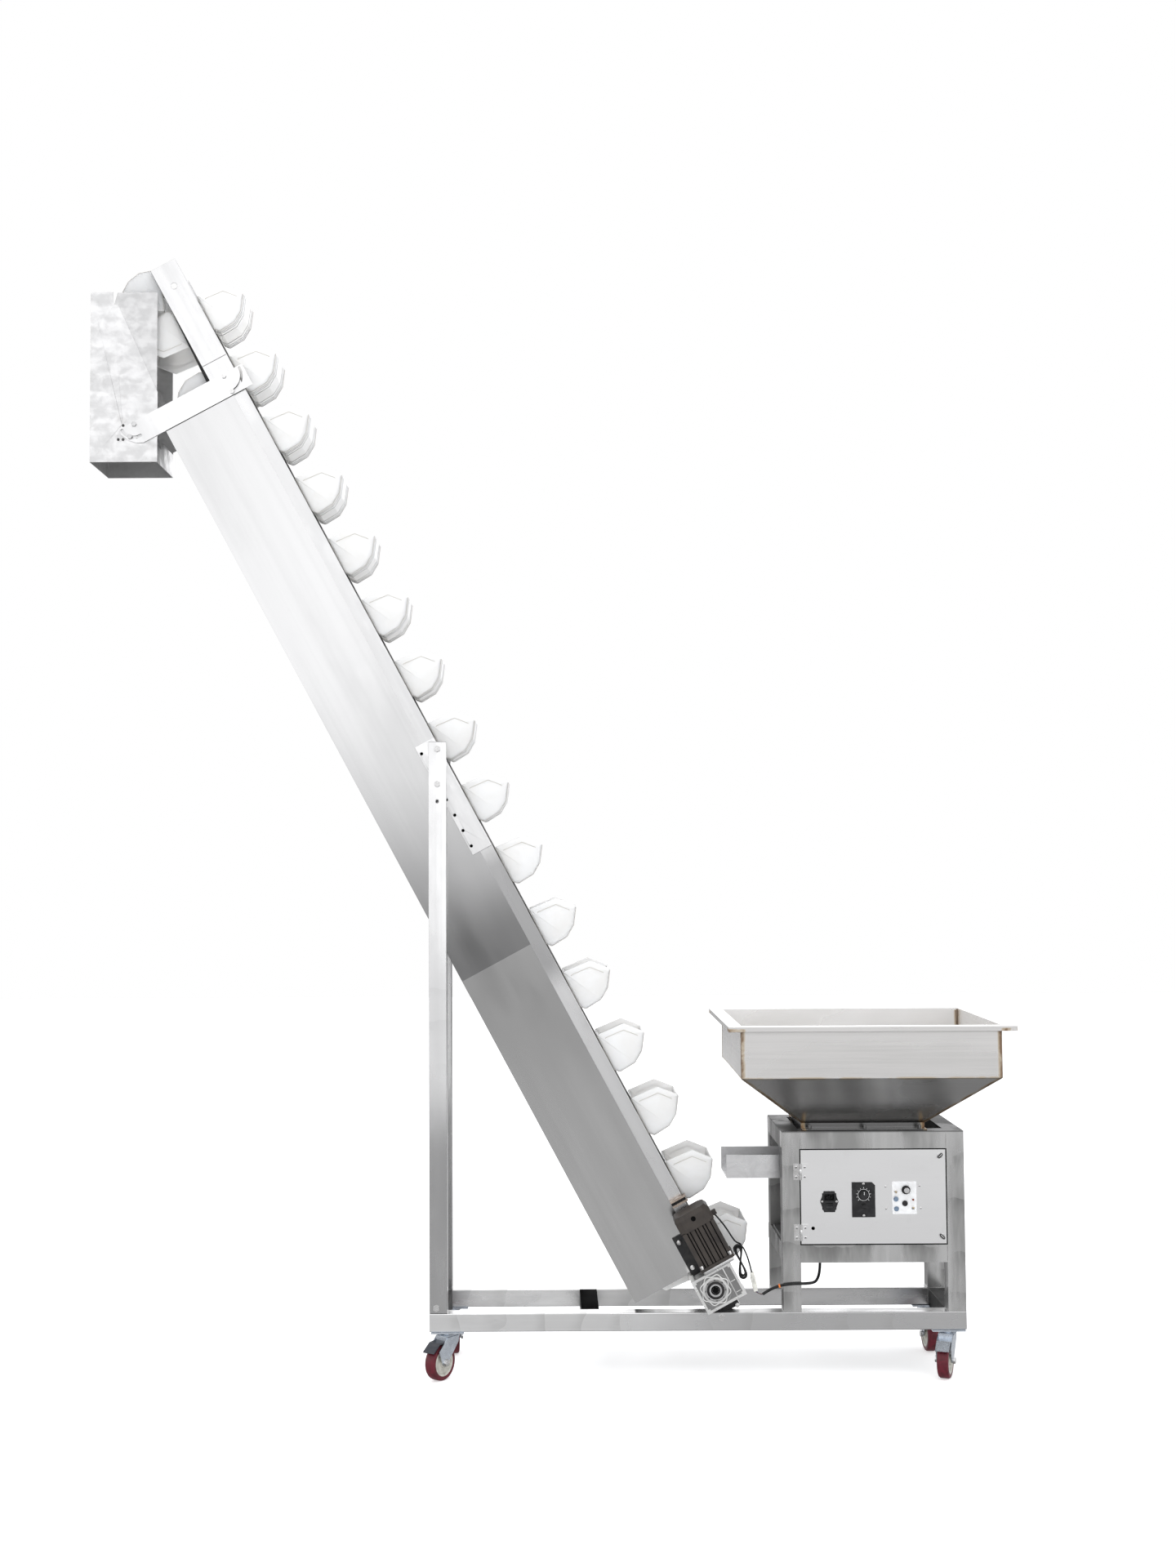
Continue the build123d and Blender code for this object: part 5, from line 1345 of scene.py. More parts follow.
    def build(self) -> None:
        motor, plug = self.motor_lead(), self.connector()
        control, band = self.control_lead(), self.tie()
        tuple(in_metres(BELT.place(*self.motor_exit, self.motor_y)))
        LOG.info("leads: motor lead, connector, control lead and tie")


# Buckets and wheels


@dataclass(frozen=True)
class Buckets(Assembly):
    """Moulded buckets of both runs and of the head, drawn about the middle of their mounting link.

    A ridge is its distance in from the bucket's end, and its radius.
    """

    length: float = 200.0
    wall: float = 3.0
    end_wall: float = 5.0
    end_bevel: float = 2.4
    lift: float = 6.814
    chain_radius: float = 33.186
    pitch: float = 203.2
    first: float = 90.0
    count: int = 16
    return_top: float = 3139.6
    head_turn: float = -159.449
    corners: Pairs = (
        (-48.0, 2.0), (62.5, 3.5), (55.0, 87.0), (7.0, 128.0), (-37.5, 96.5), (-58.0, 63.0), (-61.0, 13.0))
    radii: tuple[float, ...] = (7.0, 2.0, 5.0, 4.0, 12.0, 10.0, 9.0)
    arc: int = 5
    fold_inset: float = 17.0
    edge_ridges: Pairs = ((1.2, 0.9),)
    wall_ridges: Pairs = ((16.0, 1.2), (30.0, 1.2), (52.0, 1.4))

    def wall_line(self, outline: Array) -> Array:
        """Part of an outline from the lip round the bottom to the back: the bucket's closed sides."""
        corner = outline.reshape(len(self.corners), self.arc, 2)
        return np.concatenate([corner[3, -1:], corner[4], corner[5], corner[6], corner[0], corner[1, :1]])

    def one(self) -> Draft:
        """One bucket: a bent wall strip from back to lip, two end plates and their raised lines.

        The strip is the outline without its two open sides, and again one wall further in.

        Returns:
            The bucket's surfaces; in slot 1, dark lines of painted shade along its fold and its ends' edges.
        """
        draft = Draft()
        points = np.array(self.corners) + (0.0, self.lift)
        outline = rounded_outline(points, self.radii, self.arc)
        walls = self.wall_line(outline)
        strip = np.concatenate([walls, self.wall_line(inset_outline(outline, self.wall))[::-1]])
        half = self.length / 2
        draft.prism(strip, (0, 0, -half + self.end_wall / 2), PLAIN_AXES, self.length - self.end_wall)
        fold = rounded_outline(inset_outline(points, self.fold_inset), 3.0, 4).reshape(len(points), 4, 2)
        path = fold[1:4].reshape(-1, 2)[1:-1]
        for end in SIDES:
            draft.prism(outline, (0, 0, end * half), PLAIN_AXES, -end * self.end_wall, self.end_bevel)
            # Dark lines along the fold and the end edges: painted shade of the edges.
            draft.along(np.column_stack([path, np.full(len(path), end * (half + 0.05))]), 0.9, 6, 1)
            for slot, ridges in ((1, self.edge_ridges), (0, self.wall_ridges)):
                for step, size in ridges:
                    place = np.column_stack([walls, np.full(len(walls), end * (half - step))])
                    draft.along(place, size, 6, slot)
        return draft

    def spots(self) -> dict[str, list[Place]]:
        """Places of every bucket by node: along, out and turn in degrees.

        Returns:
            A list of places for each of the three nodes.
        """
        reach = self.chain_radius * math.cos(math.pi / 8)
        turn = math.radians(self.head_turn)
        head = (BELT.shaft_centres - reach * math.sin(turn), reach * math.cos(turn), self.head_turn)
        run = [k * self.pitch for k in range(self.count)]
        return {
            "carry_buckets": [(self.first + step, self.chain_radius, 0.0) for step in run],
            "return_buckets": [(self.return_top - step, -self.chain_radius, 180.0) for step in run],
            "head_bucket": [head],
        }

    def build(self) -> None:
        """Places the buckets and lets them ride on their chains."""
        one = self.one()
        local = np.concatenate(one.points)
        bodies = {"carry_buckets": "carry_run", "return_buckets": "return_run", "head_bucket": "head_set"}
        for node, places in self.spots().items():
            draft = Draft()
            for s, n, degrees in places:
                turn = math.radians(degrees)
                along = s + local[:, 0] * math.cos(turn) - local[:, 1] * math.sin(turn)
                out = n + local[:, 0] * math.sin(turn) + local[:, 1] * math.cos(turn)
                draft.add(BELT.place(along, out, local[:, 2]), one.faces)
                draft.slots[-len(one.faces):] = one.slots
            self.declare(draft.object(f"{node}_moulded", 40.0), bodies[node], "bucket_plastic",
                         ["bucket plastic", "bucket edge shade"], [node])
        LOG.info("buckets: %d", 2 * self.count + 1)


@dataclass(frozen=True)
class Casters(Assembly):
    """Wheels with moulded treads and stepped cores, and the nuts of their axles.

    A place is its name, X and Y of the swivel, and the direction that the wheel trails in.
    """

    radius: float = 50.0
    width: float = 32.0
    trail: float = 35.0
    cheek: float = 22.0
    places: tuple[tuple[str, float, float, float, float], ...] = (
        ("front_left", 50.0, -150.0, -0.59, -0.81), ("front_right", 1450.0, -150.0, -0.37, -0.93),
        ("rear_left", 50.0, 150.0, 0.10, -0.995), ("rear_right", 1450.0, 150.0, 0.05, -0.999))
    tread: Pairs = (
        (37.5, 0.6), (39.0, 0.0), (44.5, 0.0), (47.6, 1.2), (49.4, 4.0), (50.0, 8.0))
    core: Pairs = (
        (6.1, -1.2), (13.0, -1.2), (14.0, -0.2), (14.6, 3.4), (17.0, 4.6), (26.0, 5.2), (28.0, 4.0),
        (30.0, 4.0), (31.6, 1.4), (33.0, 0.6), (37.6, 0.6))

    def wheel(self, name: str, centre: Array, axis: Array) -> bpy.types.Object:
        """Wheel turned from its section: rounded tread, stepped core with a ring, and a hub with bearings.

        Args:
            name: Name of the wheel's place.
            centre: Its middle.
            axis: Direction of its axle.

        Returns:
            The wheel, with the tread in slot 0 and the core in slot 1.
        """
        draft = Draft()
        for slot, section in enumerate((self.tread, self.core)):
            near = [(r, h - self.width / 2) for r, h in section]
            far = [(r, -h) for r, h in reversed(near)]
            draft.turned(near + far + near[:1], centre, axis, 56, slot)
        return draft.object(f"wheel_{name}_turned", 35.0)

    def build(self) -> None:
        """Makes every wheel and its axle nuts."""
        for name, x, y, dx, dy in self.places:
            toward = np.array((dx, dy, 0.0)) / math.hypot(dx, dy)
            axis = np.cross((0.0, 0.0, 1.0), toward)
            centre = np.array((x, y, self.radius)) + toward * self.trail
            self.declare(self.wheel(name, centre, axis), f"wheel_{name}", "wheel_tread",
                         ["wheel tread", "wheel core"], [f"caster_wheel_{name}"])
            nuts = Draft()
            for side in SIDES:
                start = centre + axis * side * (self.cheek + 0.05)
                axes = axes_for(axis * side)
                nuts.prism(circle(10.5, 32), start, axes, 1.4, 0.4)
                nuts.prism(polygon(17.0, 6), start + axis * side * 1.3, axes, 4.9, 0.9)
            self.piece(nuts, f"axle_nuts_{name}", f"fork_{name}", "zinc", "bolt bright")
        LOG.info("casters: %d wheels", len(self.places))


# Small parts


def dome(draft: Draft, place: Sequence[float], axis: Sequence[float], radius: float, height: float,
         slot: int = 0) -> None:
    """Adds a round head: radius * cos(a), height * (0.35 + 0.65 * sin(a)) for a up to a quarter turn.

    Args:
        draft: Where it goes.
        place: Middle of its foot.
        axis: Direction that it points.
        radius: Its radius.
        height: Its height.
        slot: Number of its material.
    """
    angle = np.linspace(0, math.pi / 2, 6)
    rows = np.column_stack([radius * np.cos(angle), height * (0.35 + 0.65 * np.sin(angle))])
    rows[-1, 0] = radius * 0.02
    foot = [(radius * 0.02, 0.0), (radius, 0.0)]
    draft.turned(np.vstack([foot, rows]), place, axis, 20, slot)


def bolt(draft: Draft, place: Sequence[float], axis: Sequence[float], across: float, height: float) -> None:
    """Adds a hexagon head with softened edges on a washer.

    Args:
        draft: Where it goes.
        place: Middle of the washer's foot.
        axis: Direction that it points.
        across: Distance across its flats.
        height: Height of washer and head together.
    """
    axes = axes_for(axis)
    start = np.array(place, float)
    draft.prism(circle(across * 0.62, 28), start, axes, height * 0.22, 0.2)
    draft.prism(polygon(across, 6, 0.3), start + axes[2] * height * 0.2, axes, height * 0.8, across * 0.05)


def cross_screw(draft: Draft, place: Sequence[float], axis: Sequence[float], radius: float) -> None:
    """Adds a pan head in slot 0 with a dark cross in slot 1.

    Args:
        draft: Where it goes.
        place: Middle of its foot.
        axis: Direction that it points.
        radius: Its radius.
    """
    side, up, forward = axes_for(axis)
    dome(draft, place, axis, radius, radius * 0.5)
    top = np.array(place, float) + forward * radius * 0.42
    bar = centred(radius * 0.5, radius * 0.1, radius * 0.05, 2)
    for a, b in ((side, up), (up, -side)):
        draft.prism(bar, top, (a, b, forward), radius * 0.1, slot=1)


@dataclass(frozen=True)
class GearMotor(Assembly):
    """Gearbox face, seal and ribs, motor screws and the fixing bolts of the drive, with painted shade in the
    bore, the face's holes, a ring of the face and the motor's grooves.

    Places on the belt frame are pairs: up the incline and out of the carrying side. A long rib is its
    middle out and up, and half its size out and up.
    """

    face: float = -223.0
    recess: float = -219.0
    ring_face: float = -226.0
    motor_y: float = -184.0
    worm: float = 40.0
    body_face: float = -233.0
    rib_pitch: float = 12.0
    wave: Pair = (39.6, 2.6)
    wave_count: int = 8
    long_ribs: tuple[tuple[float, float, float, float], ...] = (
        (45.6, 0.0, 1.6, 42.8), (55.0, 0.0, 7.0, 1.2), (55.0, -32.0, 7.0, 1.0))
    out_ribs: Pairs = ((-30, -46.5), (-22, -46.5), (22, -46.5), (30, -46.5))
    up_ribs: Pairs = (
        (46.5, -34), (46.5, -26), (46.5, 30), (46.5, 38), (-46.5, -22), (-46.5, -14), (-46.5, 40),
        (-46.5, 48))
    corners: Pairs = ((-37, -37), (37, -37), (-37, 38), (37, 38))
    hole_circle: float = 28.2
    bore_key: Pair = (2.6, 12.6)
    seal: Pairs = (
        (17.5, 0.0), (17.5, 0.5), (18.4, 0.9), (20.4, 0.3), (22.4, 0.9), (24.2, 0.9), (24.8, 0.2),
        (24.8, 0.0), (17.5, 0.0))
    outer_ring: Pairs = (
        (30.0, 0.0), (30.4, 0.9), (31.6, 0.9), (32.0, 0.0), (30.0, 0.0))
    # Ring of painted shade round the seal: radius and height of its section.
    shade_ring: Pairs = (
        (25.2, 0.0), (25.4, 0.12), (30.0, 0.12), (30.2, 0.0), (25.2, 0.0))
    groove: Pair = (1.55, 53.0)
    groove_middle: float = 122.5
    cap_screw: Pairs = (
        (0.1, 0.0), (6.8, 0.0), (6.8, 0.7), (5.6, 1.1), (3.4, 1.1), (3.2, 0.3), (0.1, 0.3))
    flange_screws: Pair = (-4.2, 84.2)
    flange_half: float = 46.8
    arm_bolts: Pairs = ((142.6, -29.7), (63.8, -29.6))

    AXES: ClassVar[Axes] = (BELT.out, BELT.up, FRONT)

    def rib(self, draft: Draft, place: Pair, half: Pair, foot: float,
            rise: tuple[float, float, float]) -> None:
        """Adds a rib of the cast face.

        Args:
            draft: Where it goes.
            place: Its middle.
            half: Half its size out of the carrying side, and up the incline.
            foot: Where it starts, across the machine.
            rise: Its height, softened edge and corner radius.
        """
        height, bevel, corner = rise
        draft.prism(centred(*half, corner, 3), BELT.place(*place, foot), self.AXES, height, bevel)

    def raised_face(self, draft: Draft) -> None:
        """Adds the wavy ring, the ribs and the corner arcs of the face.

        The ring's line is radius 39.6 + 2.6 * sin(8a) about the output bore. A corner's arc has radius
        46 up the incline and 0.94 of it out of the carrying side.

        Args:
            draft: Where they go.
        """
        angle = np.linspace(0, 2 * math.pi, 96, endpoint=False)
        middle, swing = self.wave
        radius = middle + swing * np.sin(self.wave_count * angle)
        wave = BELT.place(radius * np.sin(angle), radius * np.cos(angle), self.recess - 1.6)
        draft.along(wave, 2.1, 8, closed=True)
        for n, s, half_n, half_s in self.long_ribs:
            self.rib(draft, (s, n), (half_n, half_s), self.recess + 0.4, (3.6, 0.5, 0.6))
        for ribs, half in ((self.out_ribs, (3.8, 1.3)), (self.up_ribs, (1.3, 3.8))):
            for place in ribs:
                self.rib(draft, place, half, self.face + 0.3, (2.3, 0.6, 0.7))
        for s, n in self.corners:
            arc = np.linspace(-0.62, 0.62, 12) + math.atan2(s, n)
            line = BELT.place(46.0 * np.sin(arc), 46.0 * np.cos(arc) * 0.94, self.recess - 0.4)
            draft.along(line, 1.1, 8)

    def gearbox_face(self) -> None:
        """Raised pattern of the cast face, dark discs of painted shade for its holes, a grey ring of painted
        shade, and the black seal.
        """
        draft = Draft()
        self.raised_face(draft)
        # Painted shade: dark discs where the face's holes are.
        for k in range(8):
            turn = (k + 0.5) * math.pi / 4
            place = BELT.place(self.hole_circle * math.sin(turn), self.hole_circle * math.cos(turn),
                               self.ring_face)
            draft.prism(circle(2.0, 14), place, self.AXES, 0.12, slot=1)
        middle = BELT.place(0, 0, self.ring_face)
        draft.turned(self.outer_ring, middle, FRONT, 56)
        # Painted shade: a grey ring between the seal and the outer lip.
        draft.turned(self.shade_ring, middle, FRONT, 56, 2)
        draft.turned(self.seal, middle, FRONT, 48, 1)
        self.bore_shade()
        self.piece(draft, "gearbox_face", "frame", "cast_aluminium", "cast aluminium", "pad rubber and painted shade",
                   "weld and ring shade grey")

    def bore_shade(self) -> None:
        """Painted shade in the output bore: dark floor, ring and keyway."""
        draft = Draft()
        floor, mouth = BELT.place(0, 0, self.face - 0.2), BELT.place(0, 0, self.face - 1.0)
        draft.turned([(0.1, 0.0), (8.7, 0.0), (8.7, 0.5), (0.1, 0.5)], floor, FRONT, 36)
        draft.turned([(9.2, 0.0), (9.2, 0.3), (12.8, 0.3), (12.8, 0.0), (9.2, 0.0)], mouth, FRONT, 40)
        half, high = self.bore_key
        draft.prism(oblong((-half, 0), (half, high), 0.4, 2), mouth, self.AXES, 0.4)
        self.piece(draft, "bore_shade", "drive_set", "motor_black", "black and painted shade")

    def motor_trim(self) -> None:
        """Black floors of the grooves as painted shade, the black cap screw and the bright screws at the
        flange's corners.
        """
        draft = Draft()
        # Painted shade: black strips on the floors of the motor's grooves.
        for k in range(-3, 4):
            n = self.worm + k * self.rib_pitch + (1.5 if k % 2 else -1.5)
            floor = BELT.place(self.groove_middle, n, self.body_face + 4.9)
            draft.prism(centred(*self.groove, 0.4, 2), floor, self.AXES, 4.4)
        draft.turned(self.cap_screw, BELT.place(203.8, self.worm, -236.0), FRONT, 28)
        axes = axes_for(BELT.up)
        for n in self.flange_screws:
            start = BELT.place(68.6, n, -230.6)
            draft.prism(circle(5.2, 24), start, axes, 1.6, 0.3, 1)
            draft.prism(polygon(8.6, 6), start + axes[2] * 1.5, axes, 8.5, 0.5, 1)
        self.piece(draft, "motor_screws", "frame", "motor_black", "black and painted shade", "bolt bright")

    def drive_bolts(self) -> None:
        """Bolts of the gearbox's feet and the bright flange between gearbox and motor."""
        draft = Draft()
        for s, n in self.arm_bolts:
            bolt(draft, BELT.place(s, n, -125.0), FRONT, 11.0, 6.0)
        bolt(draft, (865.4, -125.0, 189.2), FRONT, 10.0, 5.0)
        flange = BELT.place(50.4, self.worm, self.motor_y)
        outline = centred(self.flange_half, self.flange_half, 4.0, 5)
        draft.prism(outline, flange, (BELT.out, FRONT, BELT.up), 9.2, 0.8, 1)
        self.piece(draft, "drive_bolts", "frame", "zinc", "bolt bright", "flange aluminium")

    def build(self) -> None:
        """Makes the drive's small parts."""
        self.gearbox_face()
        self.motor_trim()
        self.drive_bolts()
        LOG.info("gear motor: face, seal, screws and bolts")


@dataclass(frozen=True)
class DoorParts(Assembly):
    """Small parts of the door and its controls, placed from the door's lower left corner.

    Places are pairs, across and up. A latch is its name, its place and the turn of its handle in degrees.
    """

    left: float = 1042.0
    front: float = -175.0
    low: float = 368.0
    width: float = 406.0
    height: float = 260.0
    gap: float = 2.0
    plate: float = 3.0
    panel: float = 6.0
    hinge_x: float = 1041.0
    hinge_ups: Pair = (32.0, 200.0)
    hinge_screw: Pair = (12.0, 13.5)
    inlet: Pair = (79.0, 117.0)
    inlet_screw: float = 20.2
    speed: Pair = (175.0, 135.5)
    speed_middle: float = 122.0
    speed_screw: float = 44.0
    knob: Pair = (293.5, 149.0)
    toggles: Pairs = ((265.0, 145.0), (313.0, 99.0))
    round_sockets: Pairs = ((265.0, 124.0), (266.0, 97.0))
    fuse: Pair = (290.0, 112.0)
    lamp: Pair = (313.0, 122.0)
    rivets: Pairs = ((237.0, 158.0), (332.0, 160.0), (238.0, 97.0), (335.0, 98.0))
    latch_places: tuple[tuple[str, float, float, float], ...] = (
        ("upper", 391.0, 243.0, 45.0), ("lower", 394.0, 19.0, -45.0))
    socket_rim: Pairs = (
        (0.1, 0.2), (2.6, 0.2), (2.8, 0.9), (5.6, 1.3), (6.6, 1.1), (7.1, 0.4), (7.1, 0.0))
    fuse_cap: Pairs = (
        (0.1, 2.2), (2.4, 2.2), (2.6, 3.1), (6.2, 3.2), (7.0, 2.6), (7.6, 0.6), (8.1, 0.3), (8.1, 0.0))
    knob_top: Pairs = (
        (0.1, 0.0), (7.4, 0.0), (7.6, 0.5), (7.0, 1.1), (3.0, 1.25), (0.1, 1.25))

    RIGHT: ClassVar[Array] = np.array([1.0, 0.0, 0.0])
    UP: ClassVar[Array] = np.array([0.0, 0.0, 1.0])

    def at(self, across: float, up: float, out: float = 0.0) -> Array:
        """A point on the door's face, or so far in front of it."""
        return np.array([self.left + across, self.front - out, self.low + up])

    def turned_axes(self, degrees: float) -> Axes:
        """Axes of the door's face turned about its normal: along, aside and towards the front."""
        along = self.RIGHT * math.cos(math.radians(degrees)) + self.UP * math.sin(math.radians(degrees))
        return along, np.cross(FRONT, along), FRONT

    def gap_strips(self) -> None:
        """Painted shadow: dark strips that fill the back of the gap round the door."""
        draft = Draft()
        over = self.gap + 1.4
        x0, x1 = self.left - over, self.left + self.width + over
        z0, z1 = self.low - over, self.low + self.height + over
        y0, y1 = self.front - 0.35, self.front + 1.9
        thick = over - 0.3
        for low, high in (((x0, y0, z0), (x1, y1, z0 + thick)), ((x0, y0, z1 - thick), (x1, y1, z1)),
                          ((x0, y0, z0 + thick), (x0 + thick, y1, z1 - thick)),
                          ((x1 - thick, y0, z0 + thick), (x1, y1, z1 - thick))):
            draft.box(low, high, 0.2)
        self.piece(draft, "door_gap_shadow", "frame", "pad_rubber", "black and painted shade")

    def screws(self) -> None:
        """Screws of the hinges, of the inlet and the controller, and the studs round the white panel."""
        fixed, moving = Draft(), Draft()
        aside, rise = self.hinge_screw
        for up in self.hinge_ups:
            for above in SIDES:
                for side, draft in ((-1, fixed), (1, moving)):
                    across = self.hinge_x + side * aside - self.left
                    cross_screw(draft, self.at(across, up + above * rise, 2.0), FRONT, 3.7)
        for across, up in self.rivets:
            dome(moving, self.at(across, up), FRONT, 3.0, 1.4)
            dome(moving, self.at(across, up, 1.0), FRONT, 1.6, 1.5)
        for side in SIDES:
            inlet = self.at(self.inlet[0] + side * self.inlet_screw, self.inlet[1], self.plate)
            cross_screw(moving, inlet, FRONT, 3.3)
            speed = self.at(self.speed[0], self.speed_middle + side * self.speed_screw, self.plate)
            cross_screw(moving, speed, FRONT, 3.6)
        self.piece(fixed, "hinge_screws_fixed", "frame", "zinc", "bolt bright", "knob black")
        self.piece(moving, "door_screws", "door", "zinc", "bolt bright", "knob black")

    def ticks(self, draft: Draft, centre: Array, radius: float, sizes: tuple[float, float, float, float],
              corner: float) -> None:
        """Adds eleven ticks round a knob over three quarters of a turn, each fifth one longer.

        Args:
            draft: Where they go.
            centre: Middle of the knob.
            radius: Where the ticks start.
            sizes: Length of the long ticks and of the others, half their width, and their height.
            corner: Radius of their corners.
        """
        longest, usual, half, height = sizes
        for k in range(11):
            axes = self.turned_axes(225 - 27 * k)
            long = longest if k % 5 == 0 else usual
            draft.prism(oblong((0, -half), (long, half), corner, 2), centre + axes[0] * radius, axes, height)

    def dials(self) -> None:
        """Scales of both knobs: a thin ring and ticks for the speed, ticks alone for the feeder."""
        draft = Draft()
        centre = self.at(*self.speed, self.plate)
        draft.turned([(15.4, 0.0), (15.4, 0.25), (16.2, 0.25), (16.2, 0.0)], centre, FRONT, 48)
        self.ticks(draft, centre, 17.6, (4.2, 2.8, 0.5, 0.3), 0.2)
        self.piece(draft, "speed_scale", "door", "panel_white", "mark white")
        scale = Draft()
        self.ticks(scale, self.at(*self.knob, self.plate), 13.4, (1.8, 1.8, 0.3, 0.2), 0.1)
        self.piece(scale, "output_scale", "door", "control_black", "knob black")

    def knob_cap(self) -> None:
        """Bright cap of the feeder's knob, and the pointer of the speed knob."""
        draft = Draft()
        draft.turned(self.knob_top, self.at(*self.knob, self.plate + 14.1), FRONT)
        self.piece(draft, "output_knob_cap", "output_knob", "zinc", "flange aluminium")
        pointer = Draft()
        foot = self.at(self.speed[0], self.speed[1] + 1.6, self.plate + 12.05)
        pointer.prism(oblong((-0.6, 0), (0.6, 8.6), 0.3, 2), foot, self.turned_axes(0.0), 0.25)
        self.piece(pointer, "speed_pointer", "speed_knob", "panel_white", "mark white")

    def sockets(self) -> None:
        """Round sockets, fuse cap and lamp of the white panel, and the nuts of its toggles."""
        draft = Draft()
        for place in self.round_sockets:
            draft.turned(self.socket_rim, self.at(*place, self.panel), FRONT)
        draft.turned(self.fuse_cap, self.at(*self.fuse, self.panel), FRONT, 36, 1)
        dome(draft, self.at(*self.lamp, self.panel), FRONT, 3.1, 2.4, 2)
        for place in self.toggles:
            draft.prism(polygon(9.4, 6, 0.2), self.at(*place, self.plate), self.turned_axes(0.0), 0.3, 0.1, 3)
        self.piece(draft, "panel_sockets", "door", "control_black", "socket blue", "knob black", "lamp amber",
                   "bolt bright")

    def latches(self) -> None:
        """Black quarter-turn handles of the latches with a bright bar in each."""
        for name, across, up, degrees in self.latch_places:
            draft = Draft()
            axes = self.turned_axes(degrees)
            draft.prism(centred(9, 4, 3.9, 7), self.at(across, up, 3.1), axes, 1.6, 0.5)
            draft.prism(centred(6.4, 1.0, 0.8, 4), self.at(across, up, 4.6), axes, 0.7, 0.2, 1)
            self.piece(draft, f"latch_handle_{name}", f"door_latch_{name}", "control_black", "knob black",
                       "bolt bright")

    def build(self) -> None:
        """Makes every small part of the door."""
        # Painted shadow in the gap round the door.
        self.gap_strips()
        self.screws()
        self.dials()
        self.knob_cap()
        self.sockets()
        self.latches()
        LOG.info("door: gap shadow, screws, scales, knob cap, sockets and latch handles")


